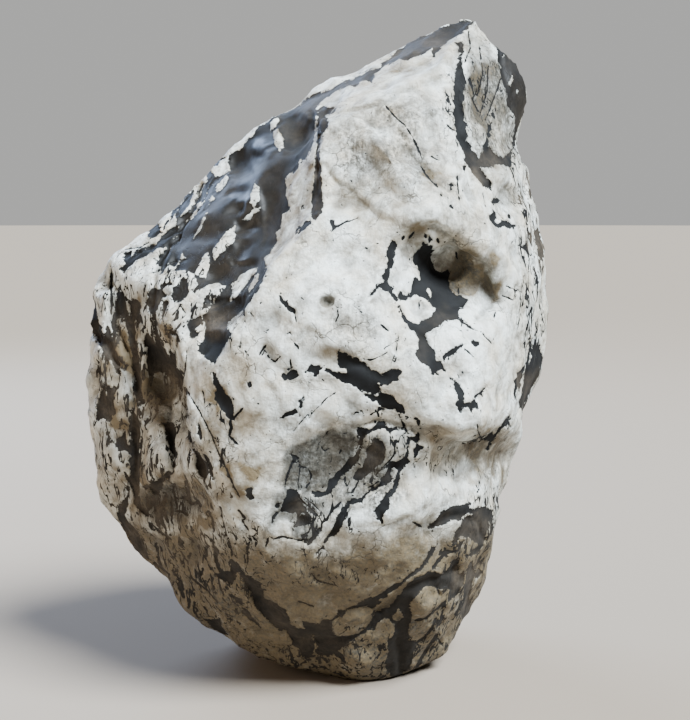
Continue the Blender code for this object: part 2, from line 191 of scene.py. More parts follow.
WHITE_IN_BAR = [
    [(21,160), (25.6,158.2), (29.6,156.6), (31.4,155.6), (33.8,158.2), (34.2,157.8), (31.8,154.9),
    (29,155.8), (25,157.4)],
]
print("bar and blots:", len(BLACK_IN_BAR))

# %% [markdown]
# ## The grey knot
# Below the bar lies a rounded knot of greyer crystal, wrapped by black seams. The seams are outlines,
# and the grey is added further on as a tint.

# %% Black seams around the knot
BLACK_IN_KNOT = [
    [(52,146), (53.6,143.6), (55.4,141.5), (56.2,138.5), (55,135.5), (55.8,133), (55.6,131.5), (54.2,130.6),
    (55.6,128.6), (57.4,128.4), (58,127), (57,126.2), (54.8,124.8), (53.8,123.8), (53.2,121.6), (52.5,122),
    (53,124), (52.2,125.5), (52.8,127.4), (54,128.6), (53.6,130), (52,131.4), (50.2,131), (49.8,128),
    (49,121.5), (49.8,120), (48,118.8), (46,116.2), (44,110), (43,107.4), (41.8,104.2), (40.8,101.4),
    (39,99.8), (38.4,97.6), (39.2,96.8), (38.8,95), (35.6,91), (34.8,89.6), (35.6,88.6), (35.4,86.6),
    (34.6,86.2), (33.8,87.8), (32.6,89), (32.2,91.2), (31.2,93), (31.6,95.4), (33.6,96.8), (34.6,99),
    (36,101.2), (38.6,104), (40.6,106.6), (41.6,110), (42.6,113), (44,116.6), (41,117.2), (39.6,118),
    (38,117), (36.6,115.4), (35.2,114.8), (36.4,117), (38.4,118.6), (40.4,119.8), (43,120.2), (46,121.6),
    (47.6,123.4), (48.6,126), (48.9,129), (48.6,131.5), (49,133), (50.6,133.4), (52.6,133.2), (54.2,134.4),
    (54.8,136.6), (54.8,139), (54,141), (52.8,143)],
    [(39.4,117.6), (40.4,115), (39.6,113), (40,110.5), (38.8,108), (36.6,107.6), (33.2,106), (31,105.2),
    (29,104.2), (26.6,102.6), (26.4,101), (26.2,100), (24.8,99.4), (24.6,97.6), (24,96.4), (23.6,98.2),
    (21.6,98), (20,97.6), (18,97.2), (17.2,94.8), (16.4,93), (15.8,90.6), (14.8,88.6), (13.6,86.2),
    (13.2,84.6), (11.8,83), (10,81.6), (8.4,80.6), (6.8,79.4), (6,78), (5,75.6), (3.8,73.8), (2,72.2),
    (-1,69.4), (-0.2,71), (1.4,72.8), (3.2,74.6), (4.6,77.4), (5.8,80.2), (7.6,82.8), (9.4,85.6),
    (10.4,88.6), (11.2,91.4), (12.6,93.4), (14.6,95.4), (16.4,97.8), (18.6,99.6), (22.6,100.8), (24.6,102.2),
    (26.6,102.8), (27.2,104.2), (28.6,105.2), (30.6,106), (33,106.8), (35,108.2), (34.8,110.6), (36.6,112),
    (37.2,114.2), (38.2,116.4)],
    [(21,137), (22,138.6), (24.6,138.8), (28,137), (30,137.6), (31.6,139), (31.8,141), (32.6,142.4),
    (34.6,142.4), (35.8,143), (36.6,142), (36.4,140), (37.4,138.8), (39.6,138.2), (44.6,138.4), (46.6,139.4),
    (48,138.6), (48.8,137.2), (49.6,134.6), (48.8,135.6), (47.6,137.2), (46,137.6), (43.4,137), (41,136.4),
    (40,135.2), (40.2,132.8), (40.6,130.6), (39.8,130.6), (39.2,133.6), (38,136), (36.8,137.4), (34.6,137.6),
    (32,137.2), (30,136.2), (26.2,134.6), (25.4,133), (24.6,130.6), (23.4,126), (22.6,123.6), (21.8,121),
    (20.4,118.6), (18,116.6), (15.6,114.4), (13.6,111.6), (11.4,109), (9.4,106.8), (7.8,105), (7.4,103.2),
    (5.6,102.6), (3,101.4), (0.6,100.2), (-1,101.2), (-0.6,102.6), (-4,103.4), (-1,103.8), (2,103.6),
    (4.2,104), (5,106), (5.4,108.2), (6.8,110), (8.8,111), (10,112.6), (10.2,114.4), (12.4,115.8),
    (14.6,118), (16,120.4), (17.4,122.4), (19.4,122.6), (21,123.4), (22,126), (22.6,129.4), (23.4,132.2),
    (24,133.8), (22.4,134.6), (21.8,135.8)],
    [(26.6,124), (27,126.4), (27.6,128.4), (29,130), (29.6,132), (31.4,132.8), (33.6,132.6), (35.4,131.4),
    (36.6,129), (36.8,126), (36.2,123.6), (35.6,121), (34,118.6), (31.8,116.4), (30.4,114.6), (27.8,113.4),
    (25.4,112.2), (24,110.4), (21.6,109.8), (19.6,110.4), (19,112), (20.6,113.4), (21.4,116), (23.8,117),
    (25.4,119), (26.4,121.4)],
    [(-20,94.6), (-19,96.8), (-18,99.4), (-16.8,101.8), (-15.6,103.8), (-14.2,105), (-12,105), (-10.2,104),
    (-9.6,102), (-9.8,100), (-8.6,98), (-6.8,96), (-5.2,94.6), (-6,93), (-8,92.6), (-9.6,91.2), (-9.8,90),
    (-8,90.6), (-6.2,91.8), (-4.6,92.6), (-3.4,91), (-2.6,89.4), (-3.4,87.6), (-5.4,86.6), (-8,86),
    (-10.4,85.2), (-12,84), (-13.6,83), (-13,84.6), (-11.4,86.2), (-10.6,88), (-10.4,90.4), (-10.8,91.8),
    (-13,92.4), (-15.6,93.2), (-19.4,93.4)],
    [(-9.4,80.6), (-7.6,81), (-6.2,80.4), (-4.6,81.4), (-5.4,79.8), (-7.4,79.2)],
    [(-7.8,77.8), (-6,77.6), (-4.2,78.2), (-2.6,79.8), (-0.8,81.8), (1,84), (1.8,83.4), (1.2,81.4), (0,79.4),
    (-1.6,77.4), (-3,75.8), (-5,74.6), (-7,75.4)],
    [(-24.6,86.4), (-23.8,88.6), (-23.4,90.8), (-22.4,93.2), (-21.2,93), (-21.2,91), (-22,89.4), (-23.2,88),
    (-23.6,86.4)],
    [(-23,96), (-22,98), (-20.8,98), (-20.4,96.6), (-21.6,95.6)],
    [(-16.4,123.6), (-14,123.9), (-12,123.2), (-10.4,122.4), (-9.6,120.8), (-11.6,121.6), (-12.4,120),
    (-13.4,119.4), (-13.6,121.2), (-14.6,122.6)],
]
print("seams of the knot:", len(BLACK_IN_KNOT))

# %% [markdown]
# ## The dark slope
# The upper left is a slope of bare black rock with chips of crystal left on it, and a slate band follows
# the crest to the peak. Here the black is drawn as the ground, and the white on top.

# %% The dark slope under the crest, and the slate band along the crest
DARK_SLOPE = [
    [(0,309.5), (-1.6,298), (-2.8,289), (-6.5,283), (-9.3,284), (-10,279.4), (-13,277), (-17.5,273),
    (-16.2,263), (-14.6,256.6), (-18.7,253.4), (-19.5,247.7), (-21.9,243.6), (-21.9,238.7), (-29.3,229.8),
    (-27.6,225.7), (-29.3,217.5), (-32.5,211.8), (-40,202), (-48,195.5), (-48.8,192.3), (-46,188.2),
    (-50.2,183.2), (-55.5,172.4), (-60.2,176.7), (-64.2,180.7), (-61,186), (-60.2,192.5), (-63,199),
    (-69.5,196), (-68.5,186), (-63.8,189.6), (-61,199.6), (-53.7,208.6), (-49.6,215), (-54.5,217),
    (-63.5,213.5), (-66.7,211.4), (-66.3,221.6), (-60.2,219.2), (-57.8,224.9), (-59.4,233.8), (-66.7,221.6),
    (-71.6,224), (-76.5,224), (-74,229), (-70.8,230.6), (-73.6,234.6), (-75,244.4), (-72.4,248.5),
    (-64.3,253.4), (-57.8,262.3), (-48,270.5), (-47.2,285), (-42.3,288.4), (-35,295.7), (-31.7,300.6),
    (-23.6,307)],
    [(-47.2,285), (-48,279), (-50.5,275.3), (-55.5,273), (-57,270), (-59.3,267), (-60.5,262.5),
    (-63.5,257.5), (-64.3,253.4), (-57.8,262.3), (-48,270.5)],
    [(0,309.5), (-5,317), (-8.5,313), (-15.6,311), (-20.5,307.5), (-20,303), (-15,300), (-8,302)],
    [(85.3,360), (77.3,358), (65.3,354.7), (58,350.3), (50.7,348.7), (42.3,341.3), (33.8,333.6),
    (22.5,328.6), (5,320.5), (-5,317.3), (-8.5,313), (-15.6,311), (-20.5,307.5), (-31,300.4), (-3,309.6),
    (5,317.3), (13.3,322), (17,323.7), (20.8,322.3), (23.2,325.4), (26.7,326.5), (29.2,325), (31.7,330),
    (36.6,333.6), (44.4,337.8), (48.6,336.7), (52.8,340), (56.4,339.2), (62.3,344), (63,338.7), (68,345.3),
    (77.3,351.3), (84,357.3)],
]
WHITE_ON_SLOPE = [
    [(-33.3,272), (-31.3,268), (-30.5,260.7), (-34.2,256.6), (-37,260), (-36.2,265.6)],
    [(-41,250), (-39,252.6), (-35.8,255.8), (-30,257.4), (-31.7,255), (-35,253.4), (-36,251)],
    [(-44.7,248.5), (-43.9,245.2), (-44.7,239.5), (-51.3,233), (-56,228), (-56.5,233), (-53,239.5),
    (-49.6,243.6)],
    [(-59.4,254.2), (-60.2,250), (-64.3,243.6), (-67,240.3), (-65,245.2), (-62.7,250)],
    [(-50,275), (-48.5,275), (-47.5,272), (-50,269), (-54,264), (-55,266.5), (-54,269.5), (-52,272)],
    [(-56.5,265), (-55.3,264), (-56,261.5), (-58.8,258.3), (-57.5,262)],
    [(-61,231.8), (-59.4,233.8), (-57.8,230.6), (-58.2,225.7), (-60.6,219.2), (-64.3,224)],
    [(-66.3,221.6), (-64.7,216), (-66.7,211.4), (-69.2,211), (-70.4,215), (-69.2,219.2)],
    [(-33,225), (-32.5,222.4), (-35.8,219.2), (-40,212.7), (-44.7,207.8), (-47.6,207), (-45.6,212.7),
    (-46.4,216), (-40.7,221.6), (-35.8,224)],
    [(-31.3,222.4), (-31.7,217.5), (-34.2,214.3), (-37.4,209.4), (-37.4,214.3), (-33.3,220.8)],
    [(-54.5,217), (-48.8,215.5), (-53,210.2), (-56,205.3), (-59.4,200.4), (-65.9,198), (-67,206), (-62,213)],
    [(-63.5,195.5), (-60.2,192.7), (-62.7,189.4), (-67,191.5)],
    [(-25.4,303.5), (-21,306.5), (-20,304.5), (-22.6,300.5), (-25,298.3)],
    [(-24,298), (-21,300), (-18,294), (-18,290), (-20.5,288), (-23,292), (-24.3,295.5)],
]
print("slope:", len(DARK_SLOPE), "black and", len(WHITE_ON_SLOPE), "white")

# %% [markdown]
# ## The left face
# On the left the crystals stand as long blades, packed in black. The gaps between the blades are drawn,
# and a few slim blades inside the widest gaps.

# %% The gaps between the blades of the left shoulder and the left face
SHOULDER_GAPS = [
    [(-91.6,246.4), (-86.3,249.7), (-86,247), (-83.4,244), (-90.3,240.3), (-90.7,242.8)],
    [(-92.8,231.4), (-87.5,236.3), (-85.5,240.3), (-76.5,247.7), (-75,251.7), (-69.2,255), (-66,260),
    (-65,264), (-65.5,271.3), (-64.3,263), (-65,256.6), (-70,251), (-75,247.7), (-76.5,242.8), (-79.8,236.3),
    (-86.3,235.5), (-88.7,233.8)],
    [(-75.7,247), (-76.5,240.3), (-79.8,234.6), (-84.6,230.6), (-88,225.7), (-87.5,220), (-86.7,218.4),
    (-85.5,222.4), (-82.2,227.3), (-80.6,232.2), (-76.5,238.7)],
    [(-76.5,215), (-79,216.7), (-86.3,215), (-90.3,211.8), (-92,208.6), (-92.4,203.7), (-90,202),
    (-89.5,205.3), (-85.5,208.6), (-85.5,211.8), (-81.4,214.7)],
    [(-80.6,207), (-81,203), (-83.8,196.4), (-83.8,202), (-84.2,206)],
    [(-70,220), (-71.2,215), (-75,214.3), (-73.6,218.4)],
    [(-105,233.4), (-100,233.8), (-101,229), (-104.2,224)],
    [(-56,282.5), (-53,284.3), (-50.5,284.2), (-53,282.5), (-53.5,279.5), (-55.5,280)],
    [(-60,278.5), (-57,278), (-55.5,275), (-58,273), (-60.3,271), (-59.5,274.5)],
    [(-69.5,269.5), (-68,269.5), (-67.5,267.5), (-70,265)],
    [(-70.7,261.5), (-69.6,260.5), (-69.5,257.5), (-70.2,257), (-71,259)],
    [(-74,263), (-72,265), (-73.5,260.5), (-75.5,256.5), (-77,254), (-79,249.5), (-79.3,252), (-77.5,256),
    (-76,259)],
    [(-91.7,243.5), (-86.6,248.2), (-83.8,246.8), (-87.5,242.3), (-90.9,240.9)],
    [(-106.4,224.9), (-102.7,229.6), (-95.9,233.7), (-87.5,238.4), (-79,245.2), (-72.3,246.8), (-73.1,243.5),
    (-80.7,240.1), (-87.5,235.2), (-94.2,231.4), (-100.1,227.4), (-104.4,221.5)],
    [(-88.3,218.2), (-86.6,224.9), (-83.8,231.7), (-79,238.4), (-74,241.8), (-72.3,235), (-75.7,226.6),
    (-77.4,224.9), (-80.7,228.6), (-83.8,221.5), (-85.8,216.5)],
    [(-91.7,208), (-87.5,211.4), (-83.8,213.4), (-81.6,209.7), (-83.8,208), (-85.8,204.7), (-87.8,200.4),
    (-90.5,197.9), (-91.9,203)],
    [(-79,209.7), (-72.3,216.5), (-67.2,214.8), (-70.6,209.7), (-77.4,206.3)],
    [(-63.9,209.7), (-57.1,214.8), (-50.4,218.2), (-45.3,214.8), (-48.7,209.7), (-55.4,208), (-60.5,204.7)],
    [(-77,253), (-73,260), (-67,268), (-66,266), (-70,259), (-74,252)],
    [(-65,261), (-61,270), (-56,276), (-55,274), (-59,268), (-62,260)],
    [(-61,255), (-58,263), (-55,266), (-56,261), (-58.6,254.6)],
]
LEFT_FACE_GAPS = [
    [(-122.7,211.5), (-121.2,208.3), (-119.8,204), (-120.2,198.3), (-119.4,191.8), (-121.2,191),
    (-123.4,197.5), (-123.5,204.7)],
    [(-121,191), (-118.7,189), (-115,187), (-113,195), (-111.2,187.5), (-110,181), (-107.5,175),
    (-105.5,171), (-103.5,170.5), (-102.2,172.4), (-103.3,168.8), (-107,171), (-112,176), (-113.2,172.4),
    (-114,176), (-116.2,181.7)],
    [(-114.8,165.2), (-115.8,159.5), (-118.4,152.3), (-119.4,148.7), (-119,142.3), (-115.5,143),
    (-111.2,142), (-110.5,149.4), (-109,160.2), (-110.5,161), (-112.6,154.5), (-114.8,151)],
    [(-106.2,216.2), (-105,211.2), (-102.6,209), (-100.4,203.3), (-101,198.3), (-103.3,193.2), (-105.4,196),
    (-109,196), (-106.2,200.4), (-105.8,204.7), (-106.5,210.5)],
    [(-109,196), (-107.2,194), (-107,189), (-104.7,183.2), (-103.3,179), (-105,179), (-107.6,184.6),
    (-109,190.4)],
    [(-103.3,193.2), (-102.6,198.3), (-100.4,200.4), (-100,193.2), (-99.7,187.5), (-96.8,184), (-96,177.4),
    (-95.7,171.7), (-94.7,167.4), (-95.4,163), (-94.7,156), (-92.5,153), (-96,149.4), (-96,156),
    (-96.5,167.4), (-99.7,169.5), (-99,174), (-101,180.3), (-103.6,189)],
    [(-99.3,208), (-96,206.5), (-95.4,199.7), (-94.7,191.8), (-96,186), (-98,189), (-97.5,196), (-100,199.7),
    (-99,204)],
    [(-92.5,204.7), (-90.4,203.3), (-89,197.5), (-86.4,193.2), (-85.3,186), (-81.8,180.3), (-79,172.4),
    (-76.7,166), (-70.5,150), (-69,143), (-73,146), (-77,149), (-84,151), (-90,158), (-90,165.2),
    (-90.4,173), (-92,179), (-93,186), (-91,194.7), (-92.2,200.4)],
    [(-80.3,191), (-77.4,189), (-75.6,186), (-76.4,179), (-76,171), (-72.8,168), (-72.4,160), (-70.6,157.3),
    (-74.6,162.4), (-77.4,169.5), (-79.2,176)],
    [(-65.2,141.5), (-63,137.2), (-62.7,132.2), (-65.2,135)],
    [(-70.3,138.7), (-68.5,135), (-67.4,131.5), (-65.2,125.7), (-63,123), (-60.2,120), (-64.5,120),
    (-67.4,128), (-70.3,133.6)],
    [(-101,159.5), (-100,156), (-98.3,147.3), (-98.3,140), (-99.7,133.6), (-101,136.5), (-100.4,142.3),
    (-100.8,151)],
    [(-104,138), (-103.3,133), (-102.6,128.6), (-100.4,128.6), (-99.7,125.8), (-96.8,124.3), (-95,128.6),
    (-95.4,135), (-94.5,129), (-96,120), (-101.8,120), (-101,124.3), (-104.7,126.5), (-107,125.8),
    (-109,129.3), (-108.3,132.2), (-105.4,133.6)],
    [(-85.5,147), (-82,150), (-79,150), (-77,148), (-77.5,143), (-76.5,138), (-77,130), (-76.5,122),
    (-77.5,114), (-78.5,123), (-80,131), (-82,138), (-84,143)],
    [(-102,123.7), (-100,121.6), (-100.3,116.7), (-101,114.5), (-100,108), (-99,103.3), (-97.5,99.7),
    (-94,93.4), (-92.5,90.5), (-91,92), (-95,98), (-96.8,102), (-95.7,110), (-95.7,118), (-95.3,123)],
    [(-101.5,101.5), (-103.5,98), (-107,95.5), (-108.3,92.5), (-107.5,89), (-104,85), (-101,81.5), (-100,76),
    (-97.5,70), (-94,68), (-89.5,66.5), (-92.5,72), (-94.8,76), (-96,80), (-99,84.5), (-101.7,87), (-104,90),
    (-103.3,93), (-101.8,97)],
    [(-94.5,106.5), (-90,107.5), (-85.5,110.5), (-80,114.5), (-78.5,113.5), (-83,109), (-85.5,103),
    (-87,102), (-88,104.5), (-92,105.5)],
    [(-68,131), (-65,124), (-64.3,116.7), (-62.6,112.4), (-60.4,111), (-58.7,114.5), (-58.7,118),
    (-61.5,121), (-63,123), (-65.5,128)],
    [(-62,125), (-59.4,123), (-56.6,117.4), (-56.4,110), (-58,113), (-58.5,118), (-60.5,122)],
    [(-39,105.5), (-36,106), (-33.5,100), (-35.5,99.5), (-38,102)],
    [(-122.6,211), (-119.9,207.4), (-119,198.4), (-115.4,187.6), (-112.7,178.6), (-113.6,173.2),
    (-115.4,176.8), (-118.1,185.8), (-121.1,193), (-122.9,202)],
    [(-112.7,162.4), (-110,157), (-109.1,146.2), (-113.6,142.6), (-119,143.5), (-118.6,148), (-114.5,153.4)],
    [(-108.2,214.6), (-103.7,207.4), (-106.4,198.4), (-108.2,191.2), (-109.6,180.4), (-107.8,173.2),
    (-106.4,166), (-108.5,167.8), (-111.4,180.4), (-110.9,193), (-109,202)],
    [(-106.4,212.8), (-101,207.4), (-96.5,205.6), (-94.7,193), (-93.8,180.4), (-94.7,171.4), (-95.6,158.8),
    (-97.4,149.8), (-99.2,158.8), (-98.3,169.6), (-99.2,180.4), (-102.8,191.2), (-107.3,198.4)],
    [(-91.1,211), (-87.5,202), (-85.7,187.6), (-81.2,178.6), (-75.8,169.6), (-72.2,158.8), (-74,155.2),
    (-79.4,158.8), (-84.8,162.4), (-89.3,166), (-91.1,173.2), (-92,184), (-91.1,194.8), (-92.9,203.8)],
    [(-99.2,148), (-95.5,140.8), (-96.4,126.4), (-97.2,115.6), (-97.8,103), (-94.7,95.8), (-89.3,90.4),
    (-92,90.4), (-98.3,97.6), (-101,108.4), (-101,122.8), (-100.1,133.6)],
    [(-108.2,95.8), (-102.8,101.2), (-101.9,97.6), (-104.6,92.2), (-101,85), (-96.5,76), (-93.8,68.8),
    (-98.3,72.4), (-102.8,81.4), (-107.3,87.7)],
]
WHITE_BLADES = [
    [(-79.6,189), (-77,188), (-75.8,183), (-77,178), (-79,179.5)],
    [(-66,130), (-63.5,124.5), (-64.3,124), (-67,129)],
    [(-104.9,200.2), (-102.8,193), (-101,182.2), (-99.5,173.2), (-101,175), (-102.8,184), (-104.8,191.2)],
    [(-98.5,198.4), (-96.2,191.2), (-95.4,180.4), (-96.2,171.4), (-97.4,180.4), (-98.5,189.4)],
    [(-103.2,210), (-101.4,204), (-100.6,196), (-102.4,199), (-103.8,205)],
    [(-89,200), (-88,192), (-87.4,182), (-88.8,186), (-89.6,194)],
    [(-108,197), (-106,200), (-104,190), (-103,178), (-104,170), (-106,176), (-108,186)],
    [(-97,194), (-95,196), (-93,184), (-92,170), (-93,152), (-95,156), (-96,172)],
    [(-102,170), (-100,174), (-99,162), (-99,148), (-101,146), (-102.5,158)],
    [(-95,208), (-92,205), (-89,196), (-90,187), (-93,192), (-96,200)],
    [(-92,166), (-84,169), (-77,166), (-73,158), (-70,146), (-74,139), (-80,142), (-88,141), (-92,152)],
    [(-89,226), (-86,228), (-84,220), (-85,212), (-88,216)],
]
print("gaps:", len(SHOULDER_GAPS) + len(LEFT_FACE_GAPS), "blades in them:", len(WHITE_BLADES))

# %% [markdown]
# ## The foot and the peak
# Black veins branch over the foot, and a dark seam frames the pale panel under the peak. They are the
# same rock again, so they are drawn in the same way.

# %% The veins of the foot
FOOT_VEINS = [
    [(-55.6,74.6), (-53,72), (-53.8,69.7), (-52.4,64.7), (-50.3,59.8), (-46,60.5), (-48.2,66), (-45.4,68.3),
    (-43.3,65.4), (-40.4,61.6), (-39,58.4), (-31.6,55.6), (-30,51.3), (-26.3,50.3), (-30,50), (-28.5,46.4),
    (-24.2,44.3), (-16.5,40), (-15.4,34.4), (-13.6,31.6), (-9.4,29.5), (-6.6,29.5), (-8,33.7), (1.2,32.3),
    (3.3,35), (7.5,33.7), (8.2,29.5), (9,26), (20.2,25.6), (26.6,30.2), (29.4,34.4), (31,39.8), (31.5,35.7),
    (30.8,30.2), (26.6,28.8), (20.2,24.5), (14.6,21), (11,18.2), (13.9,15.4), (15.6,11), (12.4,13.3),
    (9.6,16.8), (6.8,15.4), (2.6,16), (-2.4,14.7), (-8,14.7), (-9.4,19), (-13,22.4), (-16.5,28.8),
    (-21.4,30.2), (-27,35), (-31.3,39.4), (-33.4,43.6), (-34.8,48.5), (-40.4,57.7), (-42,59.8), (-44,59),
    (-44.7,56.3), (-46,53.8), (-50.3,56), (-55.3,59.4), (-52.4,60.5), (-54.2,64.7), (-55.6,69.7)],
    [(-46.8,47.8), (-42.6,47), (-41,45), (-39.7,41.5), (-37,39.4), (-35.5,36.5), (-30,31), (-34,33),
    (-37.6,35.8), (-40.4,39.4), (-41,43.6), (-44.7,45.7)],
    [(-62.7,36.5), (-58.8,34.4), (-52.4,35), (-51.7,31), (-47.8,26.7), (-51,26.3), (-54.5,28.8), (-58,32.3),
    (-61.6,34.8)],
    [(-74,58), (-72,53), (-72,46), (-73.5,48), (-75,54)],
    [(10.7,40), (15,40), (15.3,37.8), (13,36), (11,36.5)],
    [(83.6,98.5), (78.8,96), (74.7,96.4), (70.6,94.7), (66.4,92), (63.7,88), (60,83.7), (63,83.7),
    (66.4,85.8), (72,88), (78,89.2), (80.8,91.3), (84.3,92.3), (82.6,96)],
    [(83.6,93.7), (89,96), (95,93.7), (94.6,91.3), (93.2,86.5), (91,79.6), (89.8,75.5), (87.7,72),
    (83.6,69.3), (80.8,68.7), (87,74.8), (83.6,78.6), (79.5,79.6), (74.7,77), (72,75.5), (74,79),
    (74.7,81.7), (76.7,85), (79.5,89.2), (83.6,91.3)],
    [(64.4,74.5), (62.3,74), (59.6,68), (56.2,63.8), (52,60.4), (42.4,53.6), (35.6,50), (30.8,46), (26,46),
    (23.2,44), (20,41), (24,42), (30,41.6), (35,44), (33.2,45.3), (40.4,49.4), (47.2,55.6), (53.4,59.7),
    (59,64.5), (63,71.4)],
    [(60,60.4), (56.2,59), (50.7,55.6), (46.6,50.8), (42.4,45.3), (39,41.2), (35.6,40.5), (31,39.8),
    (31.5,35.7), (27.3,31), (23.2,27.5), (15,25.4), (15,22.7), (25.3,28.2), (30,30.2), (35.6,35),
    (38.3,36.4), (42.4,32.3), (42,28.2), (39,24), (38,13), (37,9.7), (38.7,7), (40.4,3.5), (43.8,1.4),
    (45.2,4.2), (47.2,7.6), (50,8.3), (52.7,16.5), (54.4,22), (52,23.4), (49.3,24), (49.6,29.6), (50.7,36.4),
    (50,43.3), (53.4,48), (57.5,52.2), (61.6,53), (65.8,51.5), (70,52.2), (72,50), (70.6,45.3), (72,45.3),
    (76.7,50), (78.8,54.2), (79.5,59.7), (76.7,59.7), (76,63.8), (76.7,67.3), (74,67.3), (71.2,62.5),
    (67,58.4), (64.4,60.4)],
    [(85,58.5), (86.5,62.5), (89,60), (87,57.5)],
    [(83.6,66.6), (85,60), (82.5,50), (81.5,33), (77.5,30), (78.5,42), (79.5,52), (81,62)],
]
WHITE_IN_VEINS = [
    [(-4.5,28.8), (-1,25.2), (1.2,20.3), (-0.2,14.7), (-2.3,15.4), (-1.7,20.3), (-3,25.2)],
    [(76,76.2), (77,79), (79.5,79.6), (78.8,76.2)],
    [(40.4,37), (43.8,39.8), (47.2,37.8), (46,34.4), (42.4,34.4)],
]
print("veins of the foot:", len(FOOT_VEINS))

# %% The veins of the peak and the right edge
PEAK_VEINS = [
    [(74.5,346.5), (79,347.7), (79.5,341.3), (77.5,340.8), (78.3,332.7), (80.7,324.7), (79,319.3),
    (78.3,308.7), (80.7,303.3), (80.7,296), (84,288.7), (86.7,283), (89,286), (90,290.7), (92,294),
    (92.7,302), (94,302), (93.7,295.3), (92.3,290.7), (94.7,288), (97.3,285.3), (100.3,283.7), (104.7,288),
    (105.7,290), (104.7,278.7), (101.3,280), (97.3,281), (93.3,278.7), (88,278.7), (90.7,274.7), (94,270.7),
    (94.7,266), (92.7,268.7), (89.3,268.7), (84.7,276), (80,282.7), (79.3,288), (75.3,295.3), (73.7,308.7),
    (73.7,326), (76.7,337.3), (76.8,344)],
    [(90.7,356.7), (93.3,352), (97.3,344), (98,337), (100,326), (103.3,312.7), (106.7,306), (107.3,299.3),
    (105.5,290.7), (108,289.5), (116,296), (119,310), (118,330), (113,340), (105,348), (97,356)],
    [(94.5,308), (96,310.5), (96.3,307), (95,305)],
    [(71,270), (73,271.5), (74.5,269), (73,267.5)],
    [(78.5,279), (80,279), (79.5,276), (78.3,277)],
    [(113,277), (116,273.5), (118,268), (118,262), (114.5,262), (115,268)],
    [(117.5,244), (119,246), (122,240), (122,228), (119.5,231), (118.5,238)],
    [(116,180.5), (119.5,183.5), (121,179), (123,174), (120.5,173.5), (118,177), (116.5,178)],
    [(109,150), (110.5,157), (111.5,165), (113.5,172), (117,177), (122,174), (119,166), (117,160), (115,152),
    (112,147)],
]
WHITE_IN_PEAK = [
    [(103,323), (103.6,327), (105,329.6), (105.6,326), (104.6,322.6)],
    [(107,318), (107.6,321.4), (109,320), (108.4,317)],
    [(99.8,339), (101,341.6), (101.6,339)],
]
BLACK = (BLACK_IN_BOWL + BLACK_IN_BAR + BLACK_IN_KNOT + DARK_SLOPE + SHOULDER_GAPS + LEFT_FACE_GAPS
         + FOOT_VEINS + PEAK_VEINS)
WHITE = WHITE_IN_BOWL + WHITE_IN_BAR + WHITE_ON_SLOPE + WHITE_BLADES + WHITE_IN_VEINS + WHITE_IN_PEAK
print("outlines:", len(BLACK), "black and", len(WHITE), "white")

# %% [markdown]
# ## Cracks
# Thin black seams and cracks would be lost between the points of a mesh if they were outlines. Each is
# a line instead, with its width at both ends, and the surface learns on which side of it each point
# lies, which stays exact however coarse the mesh is.

